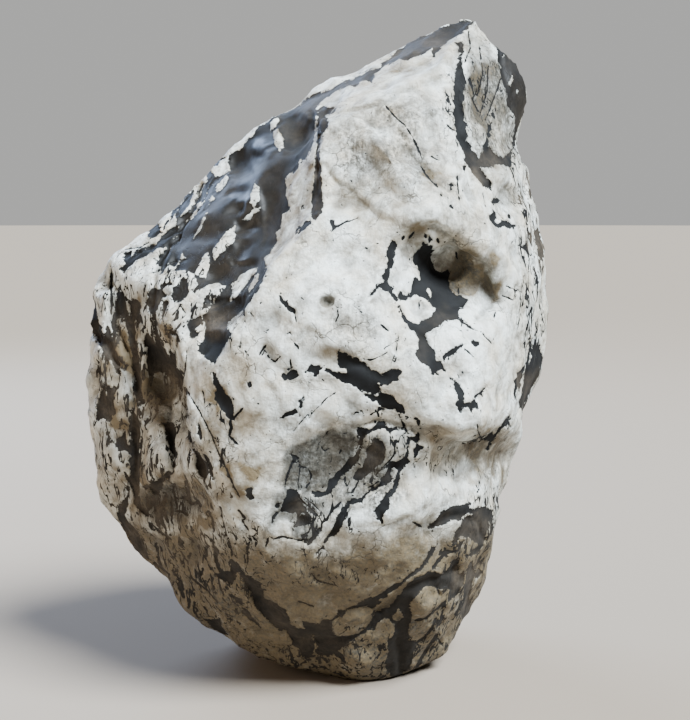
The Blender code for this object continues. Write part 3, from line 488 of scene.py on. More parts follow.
# %% Cracks as lines: width at the start and the end, then the points
CRACKS = [
    (0.9, 0.6, [(80,181), (85,176.5)]), (0.8, 0.4, [(89.7,189.2), (94.5,184)]),
    (0.6, 0.5, [(102.5,215), (107.3,213), (107.5,208)]), (0.5, 0.4, [(112,221), (112,216)]),
    (1.2, 0.5, [(37.3,312), (43,305.4), (47.2,302.5), (54.3,291.2), (57,283.5)]),
    (1.0, 0.6, [(52,295), (57,283.5)]), (1.4, 0.5, [(10,247), (14.5,249.5), (22,252)]),
    (1.0, 0.5, [(-12.5,201), (-11.5,196)]), (0.8, 0.4, [(-36.5,201), (-34.5,198.5)]),
    (0.7, 0.5, [(-28.5,190.5), (-26,191.5)]), (0.5, 0.4, [(-14,186), (-10,181.5)]),
    (1.2, 1.0, [(-28,182.5), (-31,178)]), (0.9, 0.9, [(-28,180), (-26.5,177), (-23,174), (-20,177)]),
    (0.7, 0.5, [(-39,180), (-37,177)]), (0.8, 0.7, [(-14.5,176), (-14,171)]),
    (1.0, 0.6, [(2.5,165), (4.5,162.5)]), (0.6, 0.4, [(10,157), (5,154), (2,150)]),
    (1.3, 0.8, [(35,194), (38.5,191)]), (0.6, 0.6, [(11,203), (11.5,199), (10,195.5)]),
    (0.5, 0.3, [(44,188), (43,180), (40,173)]), (0.5, 0.3, [(36,181), (44,186)]),
    (1.2, 1.0, [(70.7,302), (73.7,299.3)]), (0.8, 0.6, [(99.3,326.7), (97.3,320), (91.3,304.7)]),
    (1.0, 0.8, [(76,274), (77,262)]), (0.6, 0.4, [(90,265), (91.5,258)]),
    (1.8, 1.0, [(-35,220), (-41.5,212)]), (1.0, 0.8, [(-82.6,225.3), (-76.5,229)]),
    (0.9, 0.8, [(-78,199.6), (-74,204.5), (-71.2,200.4)]), (1.2, 1.2, [(-74,194.7), (-77.3,190)]),
    (1.2, 1.0, [(-81.8,191.5), (-76.5,189), (-74.5,185)]), (1.5, 1.2, [(-111,222), (-111,200)]),
    (0.9, 0.8, [(-70.5,180), (-71.5,170), (-73,165)]), (1.2, 1.0, [(-45.5,143), (-40,149)]),
    (2.0, 1.2, [(-47,142), (-46.5,138), (-48,134), (-43,129.5)]), (0.8, 0.6, [(-62,158), (-61,152)]),
    (0.7, 0.6, [(-71.5,160), (-64,148), (-58,136), (-52,121)]),
    (1.2, 0.8, [(-52,122), (-45,106), (-42,101)]), (2.0, 1.6, [(-70.7,109), (-69.3,99), (-67.5,97)]),
    (1.2, 1.2, [(-77,108), (-77.7,104.7), (-76.7,100.4), (-75.6,95.5)]),
    (0.8, 0.8, [(-76.7,100.4), (-70.7,100.4)]), (1.5, 1.2, [(-75.6,93.4), (-72.8,93.4), (-70,91.3)]),
    (1.2, 1.0, [(-67.5,97), (-64.3,98.3), (-62.6,96.2)]), (1.4, 0.8, [(-103.8,114), (-99,103)]),
    (1.0, 0.8, [(-90.5,87), (-84,81), (-79,78)]), (1.4, 1.0, [(-88,65), (-80,59)]),
    (1.5, 1.2, [(-60.5,73), (-60,69)]), (1.5, 1.0, [(-62,62), (-62.5,59)]),
    (0.9, 0.7, [(-70,63), (-68,57), (-63,53), (-60,50.5), (-54,44)]),
    (0.9, 0.7, [(-52.4,95.8), (-52,90.8), (-50.7,86), (-49,79.5)]), (1.2, 1.0, [(-42.6,93.7), (-39,89.4)]),
    (1.0, 0.8, [(-40.4,88), (-37.3,83)]), (1.0, 0.8, [(-35.2,79.5), (-32.3,76.7)]),
    (1.4, 1.0, [(-58.4,92.2), (-56.7,88), (-56,82.4)]), (1.2, 0.9, [(-48,77), (-46.5,71)]),
    (0.9, 0.7, [(-38,74), (-37.5,65)]), (1.2, 1.0, [(-23.2,78), (-18.6,79.5), (-8,77)]),
    (1.2, 0.9, [(-26.3,78.8), (-28,73.2)]), (0.7, 0.5, [(-3,59.5), (-0.2,55.6), (9,53)]),
    (0.7, 0.6, [(-10,44.3), (-1.7,41.5)]), (1.4, 1.2, [(8.2,34), (11,36.5)]),
    (1.0, 0.8, [(16,40), (20.2,41.5)]), (1.5, 1.0, [(52,87.2), (56.2,85)]),
    (2.0, 1.4, [(63,62.5), (65.8,66.6), (68.5,69.3), (73.3,71.4)]), (1.5, 1.2, [(66.4,71.4), (74,71.4)]),
    (1.5, 1.2, [(69.2,72.8), (70,68.7)]),
    (1.3, 1.0, [(53.4,34.4), (59,35), (63,38.5), (68.8,43.3), (69.5,44.6)]),
    (0.8, 0.7, [(64.7,52.2), (66.4,48)]), (1.6, 1.2, [(64.4,35), (62.3,29.6), (58.2,24.8), (54,22)]),
    (1.8, 1.4, [(68.2,35.4), (65,30.2)]), (2.0, 1.4, [(65,26), (61,20.6), (54.8,10.4), (53.4,7)]),
    (1.2, 0.9, [(65.8,24), (67.8,20.6)]), (1.2, 0.9, [(94,74), (95.2,66.6), (91.8,60.4)]),
    (1.2, 0.5, [(-65,270.5), (-64,272), (-61,275)]), (1.0, 0.6, [(-61.5,270.5), (-64,266), (-64.5,261)]),
    (0.9, 0.6, [(-60,277.5), (-68,272), (-70.5,269.5)]), (1.2, 0.9, [(-75,257.5), (-74.5,254)]),
    (0.9, 0.6, [(-80.5,250.5), (-82.5,248), (-83,245.5)]), (0.8, 0.5, [(-104,235), (-96,236), (-91,238.5)]),
    (1.2, 0.8, [(-97,233.5), (-94,235.5)]), (1.6, 1.2, [(-104.5,231), (-101,233)]),
    (1.1, 0.4, [(85.4,154.8), (87,156.4), (89,157.6), (91.8,160.8)]), (0.8, 0.6, [(89,157.6), (89.6,155.4)]),
    (0.8, 0.6, [(86.8,140.4), (87.4,136), (88.4,132.6)]), (0.9, 0.5, [(79,130), (83.6,130)]),
    (1.0, 0.9, [(27,105.5), (30,107), (33.5,109.6)]),
    (1.1, 0.7, [(40.6,130.6), (42,128), (42,124), (40,121), (37,118.4), (35,116)]),
    (1.0, 0.8, [(31.6,112.6), (33.4,115), (35.4,116)]),
    (1.0, 0.8, [(-10,101), (-6.5,97), (-2.5,94), (0.6,91), (2.6,87.5), (2.2,84), (0.6,81)]),
    (1.0, 0.8, [(-5,94), (-1.6,92), (-0.4,90), (-1.6,88), (-3,86), (-4,83), (-5.4,80.6)]),
    (0.6, 0.5, [(-8,98), (-4,95), (-1,92.5), (1.4,89)]), (0.6, 0.5, [(-7,101), (-2,97), (3,92), (4.4,88)]),
    (1.1, 0.8, [(-13,119.5), (-15,115), (-16.6,110), (-17.2,106)]),
    (0.9, 0.9, [(-10.2,120.5), (-9,117), (-9.6,112), (-10.2,108), (-9.6,105)]),
    (1.2, 0.8, [(-3.6,108.6), (-5.2,107.6), (-6,105.4)]),
    (0.6, 0.5, [(-9,117.5), (-5,116.5), (-3,113), (-3.6,110)]),
    (1.0, 0.8, [(2.6,127.8), (3.4,126.4), (4.8,125.9), (6.2,127)]), (1.2, 0.9, [(12.8,126.2), (12.2,124.4)]),
    (0.8, 0.6, [(14.6,135.2), (16.6,135.6)]), (0.8, 0.7, [(22.6,110), (20.4,105.6), (19.2,103.2), (15,103)]),
    (1.2, 1.2, [(5.2,88.6), (7,92), (8.6,94.8), (10.6,95.6), (12.6,98)]),
    (1.0, 0.9, [(44,145.6), (46,141), (47.4,139.2)]), (1.4, 1.0, [(33.6,149.2), (32.6,146.5), (33.2,144.4)]),
    (0.9, 0.7, [(33.6,148.6), (36.8,148.2)]),
    (0.6, 0.5, [(10,157.4), (7,155.8), (4,153.4), (2.4,151), (0,149), (-3,145.6), (-5,142)]),
    (0.4, 0.3, [(-2,149), (-8,142), (-13,136)]), (0.4, 0.3, [(6,136), (2,131), (-1,127)]),
    (0.7, 0.5, [(-8.4,146.6), (-9.4,144)]), (0.8, 0.7, [(19.8,145.4), (21,146.6), (22.6,146.4)]),
    (1.0, 0.8, [(24,147.4), (24.8,147.2)]), (1.0, 0.8, [(24.6,145.2), (25.4,144.8)]),
    (0.9, 0.6, [(28.6,145), (31,146.6)]), (1.2, 1.0, [(48,144.2), (49,143.8)]),
    (0.9, 0.7, [(-14,170), (-14.4,173.6)]), (1.0, 0.8, [(-4.8,163.2), (-4,162.8)]),
    (0.8, 0.6, [(-3.2,164), (-2.8,163.6)]), (0.7, 0.6, [(-16.6,189), (-15,190), (-13.6,188.4)]),
    (0.8, 0.6, [(-12.4,183.4), (-10.2,181)]), (0.6, 0.5, [(25,175.2), (30,175), (35,177.4), (38,179)]),
    (0.6, 0.4, [(43,176), (42,174)]), (1.2, 0.8, [(55.3,206), (55.5,203)]),
    (1.0, 0.9, [(50,240.6), (52.4,243.8)]), (1.7, 1.5, [(65.4,240), (65.8,238.6)]),
    (1.2, 0.7, [(75,233), (75.6,229.6)]), (0.8, 0.5, [(76.4,213.6), (76.6,211)]),
    (0.8, 0.6, [(78.4,196), (78.2,193.2)]), (1.0, 0.7, [(96.4,200.6), (96,198)]),
    (0.9, 0.7, [(100.4,209.6), (103.6,208.6), (106,207.4)]), (1.6, 1.2, [(103.8,253.2), (104.4,252)]),
    (1.8, 1.2, [(72.4,258.2), (73.2,257.2)]), (1.1, 0.8, [(78.6,168.6), (79.2,167.8)]),
    (1.3, 0.9, [(-8.4,208.8), (-7.6,208)]), (0.9, 0.9, [(23.6,201), (24.4,200.8)]),
    (1.0, 0.8, [(26.6,235.6), (27.4,235.2)]), (1.4, 1.0, [(64.2,270), (65,269.4)]),
    (1.0, 0.9, [(67,264.4), (67.6,263.8)]), (1.2, 0.8, [(82.6,327), (85.4,318)]),
    (1.0, 0.7, [(84,317), (87.5,309)]), (1.0, 0.9, [(-87.2,94.4), (-86.6,93.4)]),
    (1.2, 1.0, [(-97.4,92.4), (-96.6,91.6)]), (1.2, 1.0, [(-86.4,68.4), (-85.6,67.6)]),
    (1.2, 1.0, [(-103,105.6), (-102,104.4)]), (1.2, 0.6, [(56,279.5), (60,274), (66,268)]),
    (1.0, 0.6, [(62,285), (66,283)]), (1.0, 0.5, [(82,352), (83,344), (80,336)]),
    (0.9, 0.5, [(88,344), (90,330), (87,318)]), (0.8, 0.4, [(93,334), (92,320), (88,306)]),
]
print("cracks:", len(CRACKS))

# %% [markdown]
# ## Grey fields
# In some places the crystal itself is grey, with mud shut in as it grew: in the knot, in the pale panel
# of the peak, at the root of the left face and on the rim of the pin hole. Each field is an outline with
# an amount, so that its edge can be soft.

# %% Grey crystal: amount, then the outline
GREY_FIELDS = [
    (1.0, [(-18,124), (-14,128), (-8,131), (0,134.5), (10,137), (20,137.5), (22.6,134), (22,127), (19.6,122),
    (12.6,116), (10,111.4), (5,104.5), (-3,104), (-8,100), (-9,105), (-15.6,105.4), (-18.4,101), (-19.4,108),
    (-18.6,116)]),
    (0.8, [(-20,97), (-12,92), (-5,94), (4,90), (8,92), (3,99), (-6,102)]),
    (0.6, [(22,136), (30,135.5), (38,136), (41,130), (41,121), (38,116), (38,109), (33,106), (26,102),
    (20,99), (14,95), (8,93), (2,98), (4,103), (10,109), (16,116), (22,122), (24,130)]),
    (0.45, [(41,137), (48,137), (49,130), (48,122), (41,120)]),
    (0.9, [(-23,104), (-16,104), (-9,97), (-2,92), (2,86), (1,78), (-8,76), (-13,80), (-13,88), (-20,90),
    (-25,84), (-26,92)]),
    (0.9, [(3.6,206.2), (4.8,205), (7,205.2), (8,207), (7.4,208.8), (5.4,209.4), (3.8,208.2)]),
    (0.25, [(92,293), (104,297), (110,287), (108,275), (98,272), (92,281)]),
    (0.48, [(80,350), (85,352), (92,344), (99,331), (104,312), (98,300), (90,297), (82,306), (79,322),
    (82,336)]),
    (0.15, [(-93,168), (-84,171), (-76,168), (-70,156), (-68,144), (-74,137), (-80,140), (-90,139)]),
    (0.55, [(-97,107), (-92,104), (-84,106), (-77,108), (-70,104), (-63,97), (-64,90), (-74,86), (-88,86),
    (-96,92)]),
]
print("grey fields:", len(GREY_FIELDS))

# %% [markdown]
# ## How far a point is from the drawing
# A closed outline gives each point a signed distance, in mm, above zero inside it. The largest of them
# over all black outlines, cut back by the white ones, is one number that says where black rock is and
# how near its edge runs. It can be laid on a mesh and cut crisply at zero.

# %% Distances on the elevation
FAR = 6.0  # distances are not told apart past this many mm


def smooth_step(low, high, value):
    """0 below low, 1 above high, and an even rise between them."""
    share = np.clip((value - low) / (high - low), 0.0, 1.0)
    return share * share * (3.0 - 2.0 * share)


def distance_inside(points, outline):
    """Signed distance in mm from each point to a closed outline, above zero inside."""
    corners = np.array(outline, float)
    nearest = np.full(len(points), 1e6)
    inside = np.zeros(len(points), bool)
    for start, end in zip(corners, np.roll(corners, -1, axis=0)):
        side = end - start
        offset = points - start
        share = np.clip(offset @ side / (side @ side), 0.0, 1.0)
        nearest = np.minimum(nearest, np.hypot(*(offset - share[:, None] * side).T))
        crossed = (start[1] > points[:, 1]) != (end[1] > points[:, 1])
        reach = start[0] + offset[:, 1] * side[0] / (side[1] if side[1] else 1e-9)
        inside ^= crossed & (points[:, 0] < reach)
    return np.where(inside, nearest, -nearest)


def along_line(points, line):
    """For each point: the distance across a line of straight runs, above zero on its left, the plain
    distance to it, the share of the way along it, and how far past its ends the point lies, in mm."""
    across, distance = np.zeros(len(points)), np.full(len(points), 1e6)
    share, beyond = np.zeros(len(points)), np.zeros(len(points))
    corners = np.array(line, float)
    last = len(corners) - 2
    for i, (start, end) in enumerate(zip(corners[:-1], corners[1:])):
        side = end - start
        length = np.hypot(*side)
        offset = points - start
        run = offset @ side / length ** 2
        kept = np.clip(run, 0.0, 1.0)
        gap = np.hypot(*(offset - kept[:, None] * side).T)
        closer = gap < distance
        past = np.maximum(-run, 0.0) * (i == 0) + np.maximum(run - 1.0, 0.0) * (i == last)
        values = ((offset[:, 1] * side[0] - offset[:, 0] * side[1]) / length, gap, (i + kept) / (last + 1),
                  past * length)
        for kept_values, new_values in zip((across, distance, share, beyond), values):
            kept_values[closer] = new_values[closer]
    return across, distance, share, beyond


def near_outline(points, outline, room=FAR):
    """The numbers of the points that lie within a few mm of an outline's box."""
    corners = np.array(outline, float)
    low, high = corners.min(0) - room, corners.max(0) + room
    return np.nonzero(np.all((points > low) & (points < high), axis=1))[0]


# %% Black rock and cracks at any point of the elevation
END_TAPER = 0.6  # mm that a crack narrows by for each mm past its end


def drawn_ink(points):
    """Signed distance in mm into the drawn black rock."""
    ink = np.full(len(points), -FAR)
    for outline in BLACK:
        near = near_outline(points, outline)
        ink[near] = np.maximum(ink[near], distance_inside(points[near], outline))
    for outline in WHITE:
        near = near_outline(points, outline)
        ink[near] = np.minimum(ink[near], -distance_inside(points[near], outline))
    return np.clip(ink, -FAR, FAR)


def drawn_cracks(points):
    """For each point, of the nearest crack: the distance across it with its side, its half width there,
    and the plain distance to it, in mm."""
    across, half, reach = np.full(len(points), FAR), np.full(len(points), -1.0), np.full(len(points), FAR)
    for width_start, width_end, line in CRACKS:
        near = near_outline(points, line)
        side, distance, share, beyond = along_line(points[near], line)
        width = width_start + (width_end - width_start) * share
        closer = distance - 0.5 * width < reach[near] - np.maximum(half[near], 0.0)
        chosen = near[closer]
        across[chosen] = side[closer]
        half[chosen] = (0.5 * width - END_TAPER * beyond)[closer]
        reach[chosen] = distance[closer]
    return across, np.clip(half, -1.0, FAR), np.minimum(reach, FAR)


print("outline corners:", sum(len(outline) for outline in BLACK + WHITE))

# %% [markdown]
# ## The hidden sides
# Nobody has drawn the back, the ends and the underside, so their black rock is grown by rule from the
# same habit as the front: wandering sheets of black through massive crystal, and towards the left and
# low down long pale blades packed in black. Everything is worked out in 3-D, so it runs through the
# stone and meets no seam.

# %% Grown black rock
SHEETS = ((58.0, 5.5, Vector((3.1, 7.7, 1.3))), (27.0, 2.0, Vector((11.0, 2.0, 5.0))))  # grain, width, place
WARP_GRAIN, WARP = 34.0, 0.30  # how the sheets wander: over how many mm, and how strongly
BLADE = (6.5, 6.5, 23.0)  # thickness, breadth and length of a pale blade, in mm
BLADE_GAP = 1.5  # half the black between two blades, in mm
BLADE_LEAN = (math.radians(18.0), math.radians(-14.0))
ZONE_GRAIN, ZONE_PLACE = 70.0, Vector((5.0, 1.0, 9.0))  # the zones of blades and of massive crystal
LEFTWARD = 60.0  # mm left of the middle at which blades are likeliest
LOW_TOP, LOW_RUN = 110.0, 80.0  # mm: blades grow likelier below this height, over this many


def held(value, low, high):
    return max(low, min(high, value))


def grown_ink(point):
    """Signed distance in mm into the black rock of the hidden sides, at a point in mm."""
    warp = noise.noise_vector(point / WARP_GRAIN) * WARP
    ink = -FAR
    for grain, width, place in SHEETS:
        sheet = abs(noise.noise(point / grain + place + warp)) * grain * 0.55
        thick = width * (0.30 + noise.noise(point / (0.8 * grain) - place))
        ink = max(ink, thick - sheet)
    lean, roll = BLADE_LEAN
    along = point.z * math.cos(lean) + point.y * math.sin(lean)
    depth = point.y * math.cos(lean) - point.z * math.sin(lean)
    across = point.x * math.cos(roll) + along * math.sin(roll)
    along = along * math.cos(roll) - point.x * math.sin(roll)
    packed = Vector((across / BLADE[0], depth / BLADE[1], along / BLADE[2])) + warp * 1.6
    distances = noise.voronoi(packed)[0]
    between = BLADE_GAP - (distances[1] - distances[0]) * 0.5 * BLADE[0]
    zone = noise.noise(point / ZONE_GRAIN + ZONE_PLACE) * 1.6 - 0.10
    zone += 0.5 * held(-point.x / LEFTWARD, -1.0, 1.0) + 0.25 * held((LOW_TOP - point.z) / LOW_RUN, -1.0, 1.0)
    bladed = held(0.5 + zone * 3.0, 0.0, 1.0)
    return held(ink + (between - ink) * bladed, -FAR, FAR)


print("black rock behind the middle, mm:", round(grown_ink(Vector((0.0, 100.0, 170.0))), 1))

# %% [markdown]
# ## From the solid to a skin
# The solid has about ten thousand flat triangles. A copy of it is merged, remeshed into even cells and
# smoothed, which turns its facets into worn rock. Subdividing the triangles as they are would keep their
# uneven sizes and show them in the light.

# %% Even cells over the solid
CELL = 3.65  # mm
SMOOTHINGS = 2
SHRINK, SWELL = 0.50, -0.52  # the second move of each smoothing gives back what the first takes
EVERY_WAY = {"use_axis_x": True, "use_axis_y": True, "use_axis_z": True}


def merged_copy(source):
    """A bmesh of a node's mesh with its loose triangles joined."""
    bm = bmesh.new()
    bm.from_mesh(source.data)
    bmesh.ops.remove_doubles(bm, verts=bm.verts, dist=0.01 * MM)
    return bm


def as_mesh(bm, name):
    mesh = bpy.data.meshes.new(name)
    bm.to_mesh(mesh)
    bm.free()
    return mesh


def remeshed(mesh, cell):
    """The mesh made again from even cells, in mm."""
    draft = bpy.data.objects.new("draft", mesh)
    bpy.context.scene.collection.objects.link(draft)
    remesh = draft.modifiers.new("cells", "REMESH")
    remesh.mode = "VOXEL"
    remesh.voxel_size = cell * MM
    result = bpy.data.meshes.new_from_object(draft.evaluated_get(bpy.context.evaluated_depsgraph_get()))
    bpy.data.objects.remove(draft)
    return result


def smoothed(bm, times):
    for factor in (SHRINK, SWELL) * times:
        bmesh.ops.smooth_vert(bm, verts=bm.verts, factor=factor, **EVERY_WAY)


skin = bmesh.new()
skin.from_mesh(remeshed(as_mesh(merged_copy(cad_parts[STONE]), "merged"), CELL))
smoothed(skin, SMOOTHINGS)
print("even cells:", len(skin.faces), "top, mm:", round(max(v.co.z for v in skin.verts) / MM, 1))

# %% [markdown]
# ## What the eye sees of the skin
# The drawing counts only where the eye sees the skin well, so each point needs to know how squarely it
# faces the eye. The cells are split once where the eye sees them, because the finest forms are there.

# %% Arrays from the skin, and the eye's view of it
FRAY = 0.7  # mm by which drawn edges wander
FRAY_GRAINS = (3.2, 6.0)  # mm from one wander to the next, fine and broad
SEEN_FULLY = 0.14  # the drawing counts in full where the skin faces the eye by this cosine


def places(bm):
    return np.array([v.co for v in bm.verts])


def outward(bm):
    bm.normal_update()
    return np.array([v.normal for v in bm.verts])


def put(bm, points):
    for vert, place in zip(bm.verts, points):
        vert.co = place


def noise_over(points, grain, shift=0.0, kind=noise.noise):
    """Noise of about -1 to 1 at points in metres, with a grain in mm."""
    offset = Vector((shift, -shift, 2.0 * shift))
    return np.array([kind(Vector(p) / (grain * MM) + offset) for p in points])


def sight_to(points):
    """The eye's directions of sight to the points, of length 1."""
    sight = points - np.array(eye)
    return sight / np.linalg.norm(sight, axis=1)[:, None]


def facing_eye(points, normals):
    """Cosine of the angle between the skin's outward direction and the way to the eye."""
    return -np.einsum("ij,ij->i", normals, sight_to(points))


def frayed(elevation, points):
    """Places on the elevation moved a little from spot to spot, so that drawn edges run as torn rock."""
    fine, broad = FRAY_GRAINS
    moves = [noise_over(points, fine, 4.0 + 5.0 * n) + 1.1 * noise_over(points, broad, 7.0 + 5.0 * n)
             for n in range(2)]
    return elevation + FRAY * np.column_stack(moves)


def whole_ink(points, normals):
    """Black rock all round: the drawing where the eye sees well, the grown rock elsewhere."""
    seen = smooth_step(0.0, SEEN_FULLY, facing_eye(points, normals))
    ink = drawn_ink(frayed(seen_from_front(points), points))
    hidden = np.nonzero(seen < 1.0)[0]
    grown = np.array([grown_ink(Vector(points[i]) / MM) for i in hidden])
    ink[hidden] = ink[hidden] * seen[hidden] + grown * (1.0 - seen[hidden])
    return ink, seen


def split(bm, wanted):
    """Splits in two every edge whose two ends are both wanted."""
    bm.verts.ensure_lookup_table()
    edges = [e for e in bm.edges if wanted[e.verts[0].index] and wanted[e.verts[1].index]]
    bmesh.ops.subdivide_edges(bm, edges=edges, cuts=1, use_grid_fill=True)
    bm.verts.index_update()


skin.verts.index_update()
split(skin, facing_eye(places(skin), outward(skin)) > 0.02)
print("cells split once:", len(skin.faces))

# %% [markdown]
# ## Broken forms of the front
# Below the size that the solid holds, the front is full of forms with a place of their own: scooped
# dents, furrows between blades, and ledges where a sheet of rock broke off. Sculpting them by hand would
# look as good, but numbers can be read and changed. Dents come first: ovals on the elevation.

# %% Dents: across, up, half width, half height, turn in degrees, depth in mm
DENTS = [
    (-41, 281, 9, 8, 35, 1.6), (-30, 289, 8, 5, -40, -1.6), (-10, 297, 8, 12, 8, 3.0),
    (-20, 297, 3, 8, -20, -1.6), (-43, 266, 7, 5, 30, 1.8), (-44, 257, 7, 5, 30, 1.8),
    (-40, 247, 8, 6, 30, 2.0), (-42, 234, 10, 6, 30, 2.2), (-54, 220, 9, 6, 20, 0.8),
    (-24, 266, 7, 18, -16, 1.6), (-60, 243, 9, 7, 40, 1.8), (-46, 201, 16, 6, 20, 2.4),
    (-56, 184, 10, 9, 20, 4.5), (-22, 236, 6, 12, -30, 1.2), (-84, 168, 8, 24, 12, 3.0),
    (-98, 175, 4, 22, 2, 2.4), (-104, 190, 3, 16, 5, 2.0), (-116, 152, 5, 10, 0, 1.6),
    (-84, 100, 12, 6, 20, 2.4), (-66, 98, 9, 6, 10, 1.4), (-62, 118, 4, 9, 20, 2.0),
    (62, 226, 10, 12, 25, 1.5), (90, 222, 10, 8, 40, 2.0), (66, 206, 12, 7, 0, 2.0),
    (48, 215, 9, 12, 20, 1.6), (52, 200, 11, 6, 0, 1.2), (20, 193, 15, 10, 0, 1.4),
    (58, 183, 6, 10, 25, 1.4), (25, 172, 18, 4, -28, 1.4), (2, 112, 16, 14, 10, 1.6),
    (26, 128, 12, 9, 10, 1.4), (-12, 92, 9, 10, 20, 2.6), (46, 108, 4, 14, 15, 1.0),
    (67, 124, 15, 11, 0, -3.4), (44, 262, 18, 8, -20, 1.4), (12, 258, 14, 6, 10, 1.2),
    (62, 300, 8, 14, 30, 1.6), (50, 310, 22, 8, 22, 1.4), (80, 239, 18, 9, -36, -3.0),
    (88, 212, 18, 13, -30, 6.5), (62, 238, 10, 8, 0, -3.0), (104, 262, 9, 7, 30, 1.6),
    (101, 252, 7, 5, 0, 1.6), (84, 262, 5, 14, 12, 1.4), (99, 272, 9, 6, 0, -1.6), (60, 84, 13, 6, 10, 1.6),
    (26, 92, 14, 6, -10, 1.2), (28, 60, 18, 7, -5, 1.4), (-2, 62, 14, 8, 0, 1.2), (74, 62, 7, 9, 20, 2.2),
    (60, 23, 9, 12, 20, 2.0), (46, 16, 6, 14, 0, 1.6), (58, 43, 9, 9, 0, -3.0), (24, 14, 12, 6, 0, -1.4),
    (20, 36, 9, 5, 0, -1.4), (-30, 48, 14, 7, -40, 2.0), (-55, 60, 10, 8, 0, 1.6),
    (-88, 76, 10, 8, -40, 1.8), (-36, 92, 9, 12, 0, 1.2), (-26, 178, 8, 5, -20, 1.0),
    (-38, 150, 8, 10, 0, -1.2), (-32, 128, 9, 9, 0, -1.2), (84, 40, 5, 18, 0, 1.8), (74, 152, 9, 7, 0, -1.4),
    (-86, 124, 9, 14, 10, -2.0), (-68, 120, 5, 14, 10, -1.6), (16, 182, 16, 8, 10, -1.2),
    (-18, 158, 9, 9, 0, -1.2),
]
PIN_HOLE = (5.7, 207.3, 4.4, 3.4, 12, 4.6)  # the one round hole, with the same six numbers
print("dents:", len(DENTS))

# %% [markdown]
# ## Furrows and ridges
# Between the blades of the left face, along the crest and in the veins the rock runs in long grooves and
# ribs. Each is a line with a rounded section.

# %% Furrows and ridges: height, half width, and the points of the line, in mm
FURROWS = [
    (-2.0, 5.0, [(46,286), (58,275), (72,266)]), (1.8, 6.0, [(42,276), (54,265), (66,257)]),
    (-1.0, 5.0, [(14,298), (26,286), (36,270), (46,262)]), (1.6, 5.0, [(20,304), (34,292), (44,278)]),
    (-3.0, 3.5, [(-92,236), (-86,241), (-77,247), (-67,256), (-64.5,270)]),
    (-2.5, 3.0, [(-90,204), (-88,220), (-84,231), (-77,241)]),
    (-2.6, 2.6, [(-110.5,224), (-110.5,208), (-108,194), (-103,178), (-97,160)]),
    (-2.2, 2.4, [(-121,190), (-114,183), (-109,174), (-103,170), (-99,150), (-99,132), (-98,104)]),
    (-2.2, 2.6, [(-79,150), (-79,130), (-77,113)]), (-2.0, 2.4, [(-71,140), (-66,126), (-60,110)]),
    (1.6, 4.0, [(-74,191), (-69,155), (-65,137), (-60,114), (-52,98), (-43,83)]),
    (1.4, 3.5, [(2,305), (2.5,280), (2,250), (-7,242), (-16,236), (-22,227), (-31,212), (-37,202)]),
    (1.8, 3.0, [(-76,251), (-79,242), (-78,234), (-82,224)]), (1.4, 2.5, [(-24,305), (-20,298), (-18,288)]),
    (0.8, 2.6, [(-36,262), (-40,250)]), (1.6, 3.4, [(-94,200), (-95,180), (-93,160)]),
    (1.6, 3.0, [(-115,210), (-114,196), (-118,176)]),
    (1.6, 3.5, [(6,311), (34,318), (50,324), (66,332), (72,344), (84,357)]),
    (-1.4, 1.6, [(-3,309), (0,296), (0,280), (1,256)]),
    (-1.6, 2.2, [(20,139), (34,143), (46,139), (56,136)]),
    (-1.8, 3.0, [(41,117), (36,108), (22,99), (14,90), (6,78), (0,70)]),
    (1.4, 3.0, [(44,113), (32,103), (20,95), (16,82)]), (1.0, 2.6, [(30,134), (20,124), (8,112), (-4,106)]),
    (-1.6, 3.0, [(75,344), (75,316), (77,296), (86,281), (94,269)]),
    (-1.4, 2.0, [(98,344), (104,312), (105,292)]),
    (-1.6, 3.2, [(-53,68), (-44,60), (-34,46), (-24,34), (-12,24), (4,24), (20,25), (34,38)]),
    (-1.6, 2.6, [(34,38), (46,50), (60,56), (76,62)]), (-1.5, 2.6, [(44,36), (44,16), (46,6)]),
    (-1.5, 2.4, [(62,86), (74,91), (86,88), (90,78)]),
]
print("furrows and ridges:", len(FURROWS))

# %% [markdown]
# ## Ledges
# Where a sheet of crystal broke off, the rock steps down sharply on one side of a line and rises slowly
# back to its old level. A fault like this reads as broken rock, which a smooth groove doesn't.

